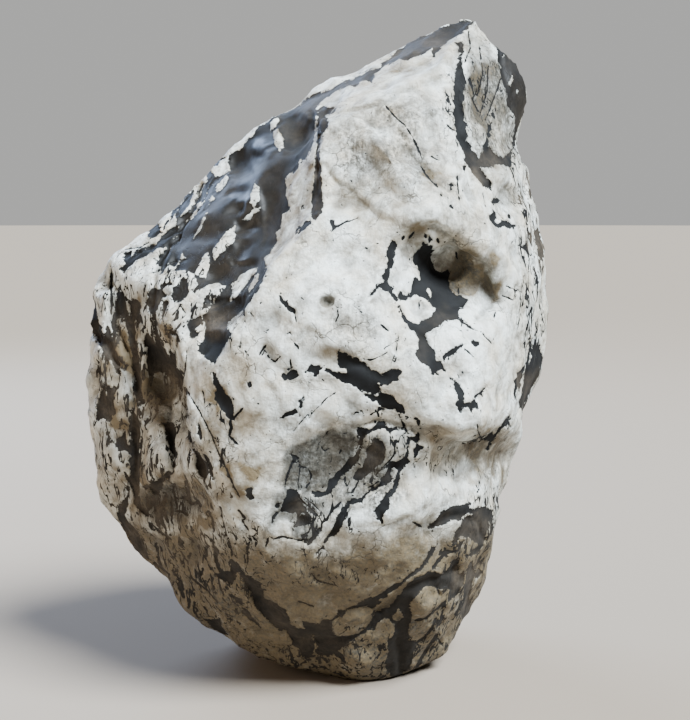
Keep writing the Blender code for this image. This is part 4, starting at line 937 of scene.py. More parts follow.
# %% Ledges: drop, run, and the line; the rock on the right of the line, walking along it, lies lower
LEDGES = [
    (2.4, 14, [(2,286), (10,276), (20,266), (32,256), (44,250)]),
    (1.9, 12, [(34,314), (44,302), (52,290), (58,280)]), (1.6, 9, [(70,296), (76,284), (80,270)]),
    (1.8, 10, [(8,300), (16,292), (24,288)]), (1.6, 10, [(-8,196), (4,188), (10,178)]),
    (1.6, 10, [(-30,170), (-22,160), (-18,146)]),
    (3.2, 16, [(46,246), (58,250), (70,246), (80,237), (90,228), (97,216), (99,206), (92,201)]),
    (2.2, 12, [(-47.5,290), (-47.5,284), (-48,277), (-55,270), (-62,258), (-74,246), (-75,232)]),
    (1.2, 9, [(-31,229), (-29,245), (-30,262), (-33,272)]), (2.0, 9, [(-47,230), (-40,228), (-32,229)]),
    (2.4, 10, [(-62,209), (-50,210), (-38,208)]), (2.6, 10, [(-97,107), (-90,106.5), (-80,115), (-74,108)]),
    (2.4, 14, [(52,146), (60,141), (70,138), (77,132), (84,130), (94,135), (102,142)]),
    (2.0, 12, [(0,80), (10,84), (22,88), (40,88), (52,93), (68,104)]),
    (1.0, 8, [(-34,280), (-36,268), (-40,252)]), (1.6, 8, [(-60,204), (-48,212), (-42,224)]),
    (2.4, 12, [(4,309), (22,312), (34,316), (50,322), (68,330), (73,343), (88,358)]),
    (1.6, 10, [(95,282), (100,270), (112,268)]), (1.4, 8, [(-28,182), (-22,174), (-14,171)]),
    (1.4, 8, [(28,215), (20,206), (11,203), (9,194)]), (1.5, 9, [(48,206), (56,210), (64,202), (60,195)]),
    (1.6, 9, [(52,34), (56,33), (63,37), (69,45)]), (1.4, 8, [(-64,76), (-56,60), (-46,46), (-34,34)]),
    (1.4, 8, [(-70,110), (-69,99), (-62,96)]), (1.6, 10, [(-46,143), (-40,149), (-34,148)]),
    (1.5, 9, [(112,190), (110,170), (106,150)]), (1.6, 9, [(82,98), (70,94), (60,84)]),
]
print("ledges:", len(LEDGES))

# %% [markdown]
# ## Pressing the forms in
# The forms are pressed in halfway between the line of sight and square to the skin, so that each stays
# where it is drawn. Their edges wander with a noise, so that no dent is a clean oval.

# %% Dents, furrows and ledges on the skin
STEP_WIDTH = 1.4  # mm over which a ledge falls
LINE_ENDS = 0.15  # share of a ledge's length over which it fades at each end


def patch_reach(elevation, centre, half_sizes, turn, room):
    """The points near a turned oval patch, and how far out each of them lies: 1 on the oval."""
    near = near_outline(elevation, [centre], room * max(half_sizes))
    offset = elevation[near] - centre
    angle = math.radians(turn)
    along = (offset[:, 0] * math.cos(angle) + offset[:, 1] * math.sin(angle)) / half_sizes[0]
    aside = (offset[:, 1] * math.cos(angle) - offset[:, 0] * math.sin(angle)) / half_sizes[1]
    return near, np.hypot(along, aside)


def scooped(elevation, dents, ragged):
    """How far a list of dents lowers each point, in mm; ragged widens and narrows them from spot to spot."""
    lift = np.zeros(len(elevation))
    for across, up, half_width, half_height, turn, depth in dents:
        near, reach = patch_reach(elevation, (across, up), (half_width, half_height), turn, 1.5)
        reach = reach * ragged[near]
        lift[near] -= depth * np.clip(1.0 - reach * reach, 0.0, 1.0) ** 1.4
    return lift


def bell(reach):
    """1 at 0 and 0 from 1 on, with a flat top and foot."""
    return np.clip(1.0 - reach * reach, 0.0, 1.0) ** 2


def broken_forms(points, elevation):
    """How far each point of the front is raised by the dents, furrows and ledges, in mm."""
    wander = elevation + np.column_stack([1.7 * noise_over(points, 9.0, 2.0 + 6.0 * n) for n in range(2)])
    ragged = 1.0 + 0.34 * noise_over(points, 8.0, 3.0) + 0.18 * noise_over(points, 3.5, 9.0)
    lift = scooped(wander, DENTS, ragged) + scooped(elevation, [PIN_HOLE], 1.0 + 0.3 * (ragged - 1.0))
    for height, half_width, line in FURROWS:
        near = near_outline(wander, line, half_width)
        lift[near] += height * bell(along_line(wander[near], line)[1] / half_width * ragged[near])
    for drop, run, line in LEDGES:
        near = near_outline(wander, line, run)
        side, distance, share, beyond = along_line(wander[near], line)
        fall = smooth_step(0.0, STEP_WIDTH, -side) * np.clip(1.0 - distance / run, 0.0, 1.0) ** 1.5
        ends = smooth_step(0.0, LINE_ENDS, share) * smooth_step(0.0, LINE_ENDS, 1.0 - share)
        lift[near] -= drop * fall * ends
    return lift


points, normals = places(skin), outward(skin)
facing = facing_eye(points, normals)
front_lift = broken_forms(points, seen_from_front(points)) * smooth_step(0.02, 0.35, facing)
press = normals - sight_to(points)
press /= np.linalg.norm(press, axis=1)[:, None]
points = points + press * front_lift[:, None] * MM
put(skin, points)
print("front forms, mm:", round(float(front_lift.min()), 1), "to", round(float(front_lift.max()), 1))

# %% [markdown]
# ## Finest cells where black meets white
# The black rock lies a little lower than the crystal, and that step needs small cells to be sharp. Only
# the cells along an edge or a crack are split again: splitting all of them would cost far more.

# %% Finest cells along the edges of the black rock
EDGE_BAND = 1.2  # mm on each side of a black edge where the finest cells go

points, normals = places(skin), outward(skin)
ink, seen = whole_ink(points, normals)
crack_reach = drawn_cracks(seen_from_front(points))[2]
split(skin, (np.abs(ink) < EDGE_BAND) | ((crack_reach < EDGE_BAND) & (seen > 0.5)))
smoothed(skin, 1)
bmesh.ops.triangulate(skin, faces=skin.faces)
print("triangles:", len(skin.faces))

# %% [markdown]
# ## Relief all round
# Weathered crystal is uneven at every size: soft swells a couple of centimetres wide, and scalloped
# chips with sharp rims. Noise makes the swells and a Voronoi pattern the chips. The dark slope and the
# black rock elsewhere are smoother, so the relief is lower there.

# %% Uneven rock
SWELLS = ((23.0, 1.7), (11.0, 1.3), (5.0, 0.35))  # grain and height in mm
CHIPS = ((19.0, 2.2), (8.5, 1.0))  # grain and depth of the scalloped chips, in mm
CHIP_BEND = 6.0  # mm by which the rims of the chips bend
STEADY_FOOT = 12.0  # height in mm over which the relief fades in above the ground
CALM_SLOPE, CALM_BLACK = 0.35, 0.55  # how much lower the relief is on the slope, and on black rock
SLOPE = [(-110,232), (-70,282), (-30,306), (-10,304), (-22,262), (-26,236), (-48,204), (-64,196)]


def chip_noise(place):
    """0 in the middle of a chip, rising to about 1 at the rims between chips."""
    return noise.voronoi(place)[0][0]


points, normals = places(skin), outward(skin)
steady = smooth_step(0.0, STEADY_FOOT, points[:, 2] / MM)
ink_before = whole_ink(points, normals)[0]
lift = np.zeros(len(points))
for n, (grain, height) in enumerate(SWELLS):
    lift += height * noise_over(points, grain, 3.0 * n)
bend = np.column_stack([noise_over(points, 24.0, 5.0 + n) for n in range(3)]) * CHIP_BEND * MM
for grain, depth in CHIPS:
    chip = noise_over(points + bend, grain, 1.0, chip_noise)
    lift += depth * (np.clip(chip, 0.0, 1.0) ** 2 - 0.25)
on_slope = smooth_step(-6.0, 6.0, distance_inside(seen_from_front(points), SLOPE)) * (ink_before > -FAR)
lift *= (1.0 - CALM_SLOPE * on_slope) * (1.0 - CALM_BLACK * smooth_step(0.0, 2.5, ink_before))
points = points + normals * (lift * steady)[:, None] * MM
print("relief, mm:", round(float(lift.min()), 2), "to", round(float(lift.max()), 2))

# %% [markdown]
# ## The step down to the black rock
# The black rock is softer than the crystal and has weathered back, more so between the blades of the
# left face than on the massive front. The cracks are shallow grooves. Both are real steps in the mesh,
# because a bump alone would leave the outline smooth.

# %% Black rock and cracks lowered
CRACK_DEPTH = 0.6  # mm
STEP_DOWN = (0.30, 0.45)  # mm that black rock lies lower, and how much more between blades
BLADE_CROWN = 0.2  # mm that a blade's middle rises
HIDDEN_BLADES = 0.6  # how bladed the hidden sides are
LEFT_FACE = [(-128,215), (-112,238), (-92,252), (-70,278), (-62,262), (-75,240), (-72,215), (-62,200),
             (-66,182), (-60,168), (-64,150), (-56,122), (-48,100), (-66,84), (-110,84), (-124,120)]

ink, seen = whole_ink(points, normals)
elevation = seen_from_front(points)
across, half, reach = drawn_cracks(elevation)
bladed = smooth_step(-4.0, 4.0, distance_inside(elevation, LEFT_FACE)) * seen + HIDDEN_BLADES * (1.0 - seen)
lower = -(STEP_DOWN[0] + STEP_DOWN[1] * bladed) * smooth_step(-0.6, 0.6, ink)
lower += BLADE_CROWN * bladed * smooth_step(0.0, 3.0, -ink)
groove = CRACK_DEPTH * smooth_step(0.9, 0.0, reach - np.maximum(half, 0.0)) * (seen > 0.5) * (half > 0)
points = points + normals * ((lower - groove) * steady)[:, None] * MM
points[:, 2] = np.maximum(points[:, 2], 0.0)
put(skin, points)
print("step down, mm:", round(float(lower.min()), 2), "grooves, mm:", round(float(groove.max()), 2))

# %% [markdown]
# ## What dirties and shades the stone
# Iron has stained the crystal brown along the left and on parts of the front, dust lies on the black rock,
# and some crystal is grey. Some brown and grey patches are painted shade: on the bowl's upper wall, under
# the lip on the right, and low on the belly and the foot, which face down. Elsewhere it is clean and nearly
# white. Painting would need an image; soft oval patches on the elevation say the same in a line each.

# %% Stains: across, up, half width, half height, turn in degrees, amount
# Several of these paint shade, not stain: the patch on the bowl's upper wall at (84, 220), those under the
# lip on the right around (92, 122), and the wide ones on the belly and the foot, which face down.
BROWN_STAINS_AND_SHADE = [
    (-38, 158, 26, 32, 0, 0.55), (-36, 122, 18, 34, 0, 0.55), (-30, 112, 10, 8, 0, 0.5),
    (-14, 120, 9, 8, 0, 0.4), (-95, 150, 30, 80, 0, 0.75), (-80, 90, 40, 40, 0, 0.75),
    (-60, 140, 14, 44, -14, 0.6), (-84, 150, 16, 34, 10, 0.7), (-100, 170, 10, 50, 0, 0.6),
    (-62, 150, 9, 30, 15, 0.6), (-8, 276, 9, 34, 12, 0.6), (-24, 232, 8, 28, -32, 0.55),
    (-42, 198, 10, 8, 0, 0.5), (-20, 296, 6, 9, 0, 0.7), (0, 55, 70, 32, 0, 0.55), (-40, 60, 40, 40, 0, 0.5),
    (30, 20, 60, 26, 0, 0.45), (6, 178, 10, 8, 0, 0.7), (84, 220, 24, 20, -30, 0.95),
    (54, 244, 16, 6, 0, 0.6), (40, 256, 22, 9, -15, 0.45), (18, 256, 18, 8, 0, 0.45),
    (38, 272, 14, 9, 0, 0.4), (46, 330, 60, 15, 27, 0.5), (98, 284, 14, 12, 0, 0.5),
    (62, 272, 12, 10, -40, 0.45), (15, 266, 12, 8, -35, 0.7), (58, 276, 11, 5, -40, 0.7),
    (92, 316, 14, 30, 0, 0.55), (10, 240, 22, 6, -10, 0.35), (6, 205, 8, 7, 0, 0.5),
    (84, 318, 5, 14, 0, 0.6), (90, 320, 10, 30, 0, 0.8), (100, 262, 12, 6, 0, 0.4),
    (66, 148, 12, 9, 0, 0.35), (62, 96, 4, 3, 0, 0.6), (-48, 116, 7, 9, 30, 0.8), (60, 38, 10, 7, 0, 0.6),
    (84, 72, 9, 7, 0, 0.7), (110, 165, 8, 18, 0, 0.4), (60, 120, 20, 16, 0, 0.3), (-84, 154, 12, 14, 0, 0.4),
    (84, 112, 16, 9, 0, 0.6), (92, 124, 13, 20, 0, 0.8), (68, 128, 12, 14, 0, 0.6),
    (92, 122, 14, 18, 0, 0.6), (-44, 40, 50, 26, 0, 0.8),
]
# The grey patches on the bowl's upper wall at (84, 220), under the lip at (92, 122) and over the foot paint
# shade as well.
GREY_STAINS_AND_SHADE = [
    (8, 116, 34, 27, 10, 0.5), (16, 104, 16, 12, 0, 0.8), (30, 112, 14, 26, 30, 0.75),
    (20, 194, 15, 11, 0, 0.55), (-12, 138, 16, 14, 30, 0.4), (24, 290, 26, 22, 0, 0.6),
    (46, 284, 26, 20, 0, 0.6), (92, 316, 14, 36, -8, 1.0), (50, 308, 26, 12, 20, 0.6),
    (42, 306, 14, 8, -40, 0.8), (50, 294, 22, 4, -50, 0.8), (24, 276, 24, 5, -45, 0.7),
    (98, 296, 14, 14, 0, 0.8), (70, 262, 18, 5, -40, 0.5), (84, 220, 22, 16, -35, 0.7),
    (20, 60, 44, 16, 0, 0.5), (-76, 100, 20, 12, 0, 0.9), (60, 44, 22, 20, 0, 0.5), (20, 20, 30, 16, 0, 0.4),
    (-64, 50, 24, 24, 0, 0.5), (100, 120, 16, 24, 0, 0.5), (104, 262, 10, 8, 0, 0.4),
    (116, 200, 8, 40, 0, 0.4), (82, 250, 14, 14, 0, 0.25), (-82, 150, 12, 12, 0, 0.6),
    (70, 96, 20, 10, 0, 0.4), (-42, 75, 20, 14, 0, 0.4), (98, 210, 9, 9, 0, 0.3), (92, 122, 14, 18, 0, 0.7),
    (50, 20, 60, 26, 0, 0.8), (-50, 46, 44, 30, 0, 0.7),
]
DUST = [
    (-40, 250, 34, 60, -30, 0.15), (-54, 196, 14, 10, 0, 0.5), (-84, 156, 14, 18, 0, 1.0),
    (-96, 160, 30, 60, 0, 0.5), (-80, 90, 44, 44, 0, 0.6), (-20, 45, 60, 44, 0, 0.35),
    (30, 334, 70, 24, 30, 0.35), (112, 320, 12, 34, 0, 0.15), (92, 284, 14, 8, 0, 0.3),
    (116, 160, 9, 10, 0, 0.4), (84, 50, 8, 24, 0, 0.6), (78, 82, 20, 16, 0, 0.35),
    (28, 122, 10, 14, 20, 0.4), (66, 196, 14, 9, 0, 0.12), (0, 280, 5, 34, 0, 0.3), (86, 272, 8, 8, 0, 0.45),
    (-12, 92, 10, 12, 0, 0.3), (120, 240, 6, 16, 0, 0.6), (114, 268, 6, 10, 0, 0.6),
    (58, 182, 7, 9, 0, 0.12),
]
LOW_STAINS_AND_SHADE = {"brown": 0.95, "grey": 0.60, "dust": 0.15}  # amounts low down: dirt from the ground, and painted shade where the foot faces down
HIDDEN_STAINS = {"brown": 0.45, "grey": 0.30, "dust": 0.40}  # amounts where the eye doesn't see
print("brown, grey and dusty patches:", len(BROWN_STAINS_AND_SHADE), len(GREY_STAINS_AND_SHADE), len(DUST))

# %% [markdown]
# ## Clean and lit, shining and veined places
# Three more kinds of patch, with the same six numbers: pale crystal, black rock that is smooth enough to
# shine, and crystal run through by slim black veins. The pale patches are partly crystal that broke lately
# and is clean, and partly painted light, which pales the white on the cheek, the chin, the bowl's right rim
# and beside the eye, where the front is lit most.

# %% Pale patches, clean and painted light, then shining and veined patches
# The patches at the cheek (84, 196), the bowl's right rim (96, 216), the chin (30, 90) and beside the eye
# (-8, 150) and (10, 150) are painted light: they make the white paler where the front is lit most.
CLEAN_AND_LIT = [
    (-8, 150, 20, 16, 30, 0.9), (-28, 190, 16, 24, 0, 0.7), (30, 90, 22, 9, 20, 1.0),
    (84, 196, 22, 24, 0, 0.9), (96, 216, 10, 14, 0, 0.9), (10, 222, 24, 12, 0, 0.5),
    (54, 110, 7, 18, 10, 0.7), (72, 104, 20, 7, 0, 0.6), (52, 202, 9, 8, 0, 0.8), (48, 222, 6, 10, 0, 0.8),
    (74, 150, 14, 14, 0, 0.8), (6, 186, 14, 8, 0, 0.5), (60, 330, 30, 10, 25, 0.6), (20, 280, 10, 8, 0, 0.4),
    (96, 338, 8, 16, 0, 0.5), (70, 298, 8, 8, 0, 0.5), (-50, 184, 10, 8, 0, 0.5),
    (-100, 214, 10, 14, 0, 0.5), (60, 46, 10, 8, 0, 0.5), (-120, 130, 8, 20, 0, 0.4),
    (10, 150, 24, 11, 20, 0.9), (-10, 200, 16, 14, 0, 0.5), (-16, 178, 18, 10, 0, 0.7),
    (40, 188, 14, 8, 0, 0.5), (88, 170, 10, 14, 0, 0.7), (52, 166, 8, 8, 0, 0.4),
]
SHINE = [
    (-31, 290, 9, 7, 30, 1.0), (-43, 263, 8, 7, 0, 1.0), (-35, 249, 10, 9, 0, 1.0),
    (-43, 231, 10, 7, 0, 1.0), (-62, 206, 7, 6, 0, 0.9), (-36, 276, 8, 12, 0, 0.7),
    (-50, 250, 34, 54, -30, 0.6), (-46, 196, 16, 12, 0, 0.35), (30, 340, 70, 20, 30, 0.4),
    (112, 320, 14, 34, 0, 0.5), (118, 250, 8, 40, 0, 0.4), (1, 285, 5, 30, 0, 0.3),
]
VEINED = [
    (-70, 62, 44, 30, -45, 0.75), (-84, 97, 18, 14, 0, 1.0), (66, 122, 12, 12, 0, 0.4),
    (-40, 70, 16, 22, 20, 0.6), (-60, 104, 14, 24, 20, 0.6), (-100, 150, 30, 80, 0, 0.7),
    (30, 12, 90, 18, 0, 0.8), (82, 44, 20, 40, 0, 0.9), (94, 78, 16, 34, 0, 0.8), (116, 230, 8, 70, 0, 0.9),
    (110, 300, 10, 50, 0, 0.7), (-64, 210, 30, 34, 30, 0.6), (4, 90, 18, 12, 0, 0.5),
    (84, 312, 18, 36, 0, 0.3), (4, 62, 40, 12, 0, 0.3), (28, 122, 26, 18, 30, 0.35),
    (-52, 130, 8, 30, 10, 0.5),
]
ON_HIDDEN_SIDES = {"clean_and_lit": 0.4, "shine": 0.2, "veined": 0.5}  # amounts where the eye doesn't see
print("clean, shining and veined patches:", len(CLEAN_AND_LIT), len(SHINE), len(VEINED))

# %% [markdown]
# ## What the skin remembers
# The finish needs to know, at each point, how deep it lies in black rock, where the nearest crack runs,
# how stained, grey or dusty it is, with the painted shade held in the brown and grey, and how far it lies
# in a hollow, which the finish darkens as painted shade. These are stored on the mesh as named attributes,
# in mm or as shares.

# %% Helpers: patches, hollows and attributes
def patches_over(elevation, patches):
    """The strongest of several soft round patches at each point, 0 to 1."""
    amount = np.zeros(len(elevation))
    for across, up, half_width, half_height, turn, strength in patches:
        near, reach = patch_reach(elevation, (across, up), (half_width, half_height), turn, 1.3)
        amount[near] = np.maximum(amount[near], strength * smooth_step(1.25, 0.45, reach))
    return amount


def hollowness(bm, passes, scale):
    """How far each point lies in a hollow: its depth under its surroundings, as a share of scale mm."""
    edges = np.array([(e.verts[0].index, e.verts[1].index) for e in bm.edges])
    points = places(bm)
    eased = points.copy()
    count = np.bincount(edges.ravel(), minlength=len(points))[:, None]
    for _ in range(passes):
        total = np.column_stack([
            np.bincount(edges[:, 0], eased[edges[:, 1], axis], len(points))
            + np.bincount(edges[:, 1], eased[edges[:, 0], axis], len(points)) for axis in range(3)])
        eased = total / count
    return np.einsum("ij,ij->i", eased - points, outward(bm)) / (scale * MM)


def remember(mesh, name, values, kind="FLOAT"):
    field = "value" if kind == "FLOAT" else "vector"
    attribute = mesh.attributes.new(name, kind, "POINT")
    attribute.data.foreach_set(field, np.asarray(values, np.float32).ravel())


skin.verts.index_update()
hollow = np.clip(hollowness(skin, 24, 1.0), -1.5, 1.5)
print("hollow, mm:", round(float(hollow.min()), 2), "to", round(float(hollow.max()), 2))

# %% [markdown]
# ## Stains and painted shade with ragged rims
# The patches are moved about by a noise and made uneven by another, so that none of them looks like an
# oval. Low down the stone is darkened all round: partly dirt from the ground, partly painted shade on the
# foot, which faces down.

# %% Amounts at every point
LOW_FULL, LOW_NONE = 72.0, 108.0  # mm: the height below which the stone is fully darkened, and above which not at all

mottle = 1.0 + 0.9 * noise_over(points, 13.0, 4.0) + 0.5 * noise_over(points, 5.0, 6.0)
drift = np.column_stack([7.0 * noise_over(points, 15.0, 3.0 + n) + 3.0 * noise_over(points, 5.0, 7.0 + n)
                         for n in range(2)])
low_down = smooth_step(LOW_NONE, LOW_FULL, points[:, 2] / MM + 8.0 * noise_over(points, 26.0, 2.0))
grey_field = np.zeros(len(points))
for amount, outline in GREY_FIELDS:
    depth_in = distance_inside(elevation + 0.25 * drift, outline)
    grey_field = np.maximum(grey_field, amount * smooth_step(-2.0, 2.0, depth_in) * seen)
stains_and_shade = {}
for name, patches in (("brown", BROWN_STAINS_AND_SHADE), ("grey", GREY_STAINS_AND_SHADE), ("dust", DUST)):
    amount = patches_over(elevation + drift, patches) * seen + HIDDEN_STAINS[name] * (1.0 - seen)
    # Low down: dirt from the ground and painted shade, darker towards the bottom.
    ground_dirt_and_shade = LOW_STAINS_AND_SHADE[name] * low_down * (0.8 + 0.2 * mottle)
    stains_and_shade[name] = np.clip(np.maximum(amount * mottle, ground_dirt_and_shade), 0.0, 1.0)
print("mean stains:", {name: round(float(amount.mean()), 2) for name, amount in stains_and_shade.items()})

# %% [markdown]
# ## The stone
# The skin becomes a mesh, with everything it remembers as attributes on its points, and smooth shading,
# because its cells are far smaller than its forms.

# %% The stone's mesh and its attributes
stone_mesh = as_mesh(skin, STONE + "_skin")
remember(stone_mesh, "ink", ink)
remember(stone_mesh, "hollow", hollow)
remember(stone_mesh, "grey_field", grey_field)
threes = {"stain_and_shade": (stains_and_shade["brown"], stains_and_shade["grey"], stains_and_shade["dust"]),
          "crack": (across, half, np.where(seen > 0.5, reach, FAR))}
for name, parts in threes.items():
    remember(stone_mesh, name, np.column_stack(parts), "FLOAT_VECTOR")
for name, patches, drifts in (("clean_and_lit", CLEAN_AND_LIT, 1.0), ("shine", SHINE, 0.5), ("veined", VEINED, 1.0)):
    amount = patches_over(elevation + drifts * drift, patches) * seen + ON_HIDDEN_SIDES[name] * (1.0 - seen)
    remember(stone_mesh, name, amount)
for polygon in stone_mesh.polygons:
    polygon.use_smooth = True
stone = bpy.data.objects.new("stone", stone_mesh)
bpy.context.scene.collection.objects.link(stone)
print("points:", len(points))

# %% [markdown]
# ## Small helpers for materials
# A material is a tree of nodes. One helper adds any node, and the others add the few kinds that come
# again and again: a sum, a ramp, a noise and a tint. Colours are written as sRGB hex and made linear in
# one place, because a shader adds up light.

# %% Nodes and colours
def linear(hex_colour):
    """An sRGB hex colour as the linear colour that a shader wants."""
    values = [int(hex_colour[i:i + 2], 16) / 255.0 for i in (1, 3, 5)]
    return [v / 12.92 if v <= 0.04045 else ((v + 0.055) / 1.055) ** 2.4 for v in values] + [1.0]


def add(tree, kind, settings=None, out=0, **links):
    """Adds a node and gives its output: settings are its own values; links fill its inputs, by name or
    as _0, _1, with a socket or a value."""
    node = tree.nodes.new("ShaderNode" + kind)
    for name, value in (settings or {}).items():
        setattr(node, name, value)
    for name, value in links.items():
        key = int(name[1:]) if name[0] == "_" else name.replace("_", " ")
        if isinstance(value, bpy.types.NodeSocket):
            tree.links.new(value, node.inputs[key])
        else:
            node.inputs[key].default_value = value
    return node.outputs[out]


def maths(tree, operation, *values, clamp=False):
    """One operation on up to three sockets or numbers."""
    inputs = {f"_{n}": value for n, value in enumerate(values)}
    return add(tree, "Math", {"operation": operation, "use_clamp": clamp}, **inputs)


def ramp(tree, value, low, high, bottom=0.0, top=1.0, **settings):
    """Bottom where the value is low, top where it is high, and a straight rise between."""
    return add(tree, "MapRange", settings, Value=value, _1=low, _2=high, _3=bottom, _4=top)


def clouds(tree, place, scale, detail, roughness=0.5, **links):
    """Soft noise from 0 to 1, with about scale clouds to the mm."""
    return add(tree, "TexNoise", Vector=place, Scale=scale, Detail=detail, Roughness=roughness, **links)


def tint(tree, share, under, colour):
    """A colour laid over another by a share, each as a socket or as hex."""
    under, colour = [linear(c) if isinstance(c, str) else c for c in (under, colour)]
    return add(tree, "Mix", {"data_type": "RGBA"}, out=2, _0=share, _6=under, _7=colour)


def three_of(tree, vector):
    """The three parts of a vector."""
    parts = tree.nodes.new("ShaderNodeSeparateXYZ")
    tree.links.new(vector, parts.inputs[0])
    return parts.outputs


def remembered(tree, name, out=2):
    """What the skin remembers under a name: output 2 is a number, output 1 a vector."""
    return add(tree, "Attribute", {"attribute_name": name}, out=out)


SMOOTH, FREE = {"interpolation_type": "SMOOTHSTEP"}, {"clamp": False}
print("brown in linear light:", [round(v, 3) for v in linear("#6d6049")])

# %% [markdown]
# ## Where the black rock is
# The remembered distance is cut at zero. A fine and a broad noise make that edge ragged at sizes below
# the mesh, and flecks of black are left beside it. Cutting in the material keeps the edge crisp, which
# colours stored on the points couldn't.

# %% The black mask
RAGGED, BROAD = 0.5, 0.45  # mm by which the black edges wander, at the finest size and a broader one
EDGE_BLUR, CRACK_BLUR = 0.13, 0.12  # mm over which white turns to black
INK_SPREAD = 0.2  # mm that the black spreads past the drawing
CRACK_BAND = 0.8  # mm past a crack's edge where it may still show
SLIM_VEINS = ((0.25, 0.25, 7.0), (-0.8, 0.40, 10.0))  # turn in radians, stretch, grain in mm
SLIM_WIDTH = 0.065  # the widest slim vein, as a share of the noise that draws it


def ragged_black(tree, place, ink):
    """The depth into black rock in mm, its mask, the fine noise and the wander of edges."""
    fine = clouds(tree, place, 0.75, 4.0, 0.6)
    wander = maths(tree, "MULTIPLY_ADD", fine, 4.0 * RAGGED, -2.0 * RAGGED)
    broad = ramp(tree, clouds(tree, place, 1 / 3.4, 3.0, 0.55), 0.35, 0.65, -BROAD, BROAD, **FREE)
    wander = maths(tree, "ADD", wander, broad)
    depth = maths(tree, "ADD", maths(tree, "ADD", ink, wander), INK_SPREAD)
    fleck = ramp(tree, clouds(tree, place, 1 / 2.3, 2.0), 0.68, 0.80, 0.0, 4.0, **FREE)
    depth = maths(tree, "MAXIMUM", depth, maths(tree, "MULTIPLY_ADD", ink, 0.30, fleck))
    return depth, ramp(tree, depth, -EDGE_BLUR, EDGE_BLUR, **SMOOTH), fine, wander


def crack_mask(tree, crack, wander):
    """Black where a crack runs."""
    side, half, reach = three_of(tree, crack)
    room = maths(tree, "SUBTRACT", half, maths(tree, "ABSOLUTE", side))
    room = maths(tree, "MULTIPLY_ADD", wander, 0.55, room)
    close = maths(tree, "LESS_THAN", maths(tree, "SUBTRACT", reach, half), CRACK_BAND)
    return maths(tree, "MULTIPLY", ramp(tree, room, -CRACK_BLUR, CRACK_BLUR, **SMOOTH), close)


def slim_vein_mask(tree, place, veined):
    """Slim black veins in two directions, where a stretched noise crosses its middle value."""
    slim = None
    for turn, stretch, grain in SLIM_VEINS:
        laid = add(tree, "Mapping", Vector=place, Rotation=(0.0, turn, 0.0), Scale=(1.0, 1.0, stretch))
        line = maths(tree, "ABSOLUTE", maths(tree, "SUBTRACT", clouds(tree, laid, 1 / grain, 3.0, 0.6), 0.5))
        wide = ramp(tree, clouds(tree, laid, 1 / 4.0, 2.0), 0.44, 0.66, 0.0, SLIM_WIDTH)
        line = maths(tree, "SUBTRACT", maths(tree, "MULTIPLY", wide, veined), line)
        line = ramp(tree, line, -0.002, 0.004, **SMOOTH)
        slim = line if slim is None else maths(tree, "MAXIMUM", slim, line)
    return slim


print("edge blur, mm:", EDGE_BLUR, "slim veins in", len(SLIM_VEINS), "directions")

# %% [markdown]
# ## Calcite
# The white is calcite, chalky from weathering: cool white and cream clouds, paler where it broke lately
# and, as painted light, where the front is lit most, then smudges, streaks, stains with some painted shade
# among them, grey fields, painted shade in hollows, and dark hairlines and pits. Each is a tint over the
# last.

# %% The colour of the calcite
# The brown and grey tints also paint shade where their patches lie in shade, and the darkest tint paints
# shade in hollows besides colouring the hairlines and pits.
CALCITE = {"pale": "#eef5f2", "cool": "#dde2dd", "cream": "#cdc5b2", "smudge": "#69645a",
           "brown": "#6d6049", "grey": "#46443d", "field": "#35342f", "dark_marks_and_shade": "#3e382e"}


def clouded_calcite(tree, place, clean_and_lit, grey):
    """Cream and cool white in clouds, pale places that are partly clean crystal and partly painted light,
    smudges and grey streaks.
    """
    cloud = ramp(tree, clouds(tree, place, 1 / 16.0, 5.0, 0.62), 0.36, 0.62)
    white = tint(tree, cloud, CALCITE["cream"], CALCITE["cool"])
    # Painted light in part: the pale tint of these patches stands for the strongest light on the front.
    clear = maths(tree, "MULTIPLY", ramp(tree, cloud, 0.0, 1.0, 0.35), clean_and_lit)
    white = tint(tree, clear, white, CALCITE["pale"])
    smudge = ramp(tree, clouds(tree, place, 1 / 9.0, 8.0, 0.72, Distortion=0.6), 0.45, 0.64, 0.0, 0.80)
    smudge = maths(tree, "MULTIPLY", smudge, maths(tree, "MULTIPLY_ADD", clean_and_lit, -0.55, 1.0))
    white = tint(tree, smudge, white, CALCITE["smudge"])
    along = add(tree, "Mapping", Vector=place, Rotation=(0.0, 0.6, 0.0), Scale=(0.9, 0.9, 0.09))
    streak = ramp(tree, clouds(tree, along, 0.9, 4.0, 0.6), 0.48, 0.70)
    streak = maths(tree, "MULTIPLY", streak, maths(tree, "MULTIPLY_ADD", grey, 0.7, 0.25))
    return tint(tree, streak, white, CALCITE["smudge"])


def stained(tree, white, blotch, speckle, amounts):
    """The stains over the calcite, some of them painted shade, and painted shade in hollows, from the amounts
    of brown, grey, field and hollow.
    """
    brown, grey, grey_field, hollow = amounts
    brown_here = maths(tree, "ADD", brown, maths(tree, "MULTIPLY_ADD", blotch, 1.3, -0.65), clamp=True)
    brown_here = maths(tree, "MULTIPLY", brown_here, brown, clamp=True)
    brown_here = maths(tree, "MULTIPLY", brown_here, 1.25, clamp=True)
    # The brown and grey tints are stains, and painted shade where their patches lie in shade.
    white = tint(tree, brown_here, white, CALCITE["brown"])
    white = tint(tree, maths(tree, "MULTIPLY", grey, speckle, clamp=True), white, CALCITE["grey"])
    field = maths(tree, "MULTIPLY", ramp(tree, speckle, 0.0, 1.0, 0.80), grey_field)
    white = tint(tree, field, white, CALCITE["field"])
    # Painted shade: the calcite is darkened the deeper it lies in a hollow.
    dark_marks_and_shade = maths(tree, "MULTIPLY", ramp(tree, hollow, 0.10, 1.00), blotch)
    return tint(tree, dark_marks_and_shade, white, CALCITE["dark_marks_and_shade"])


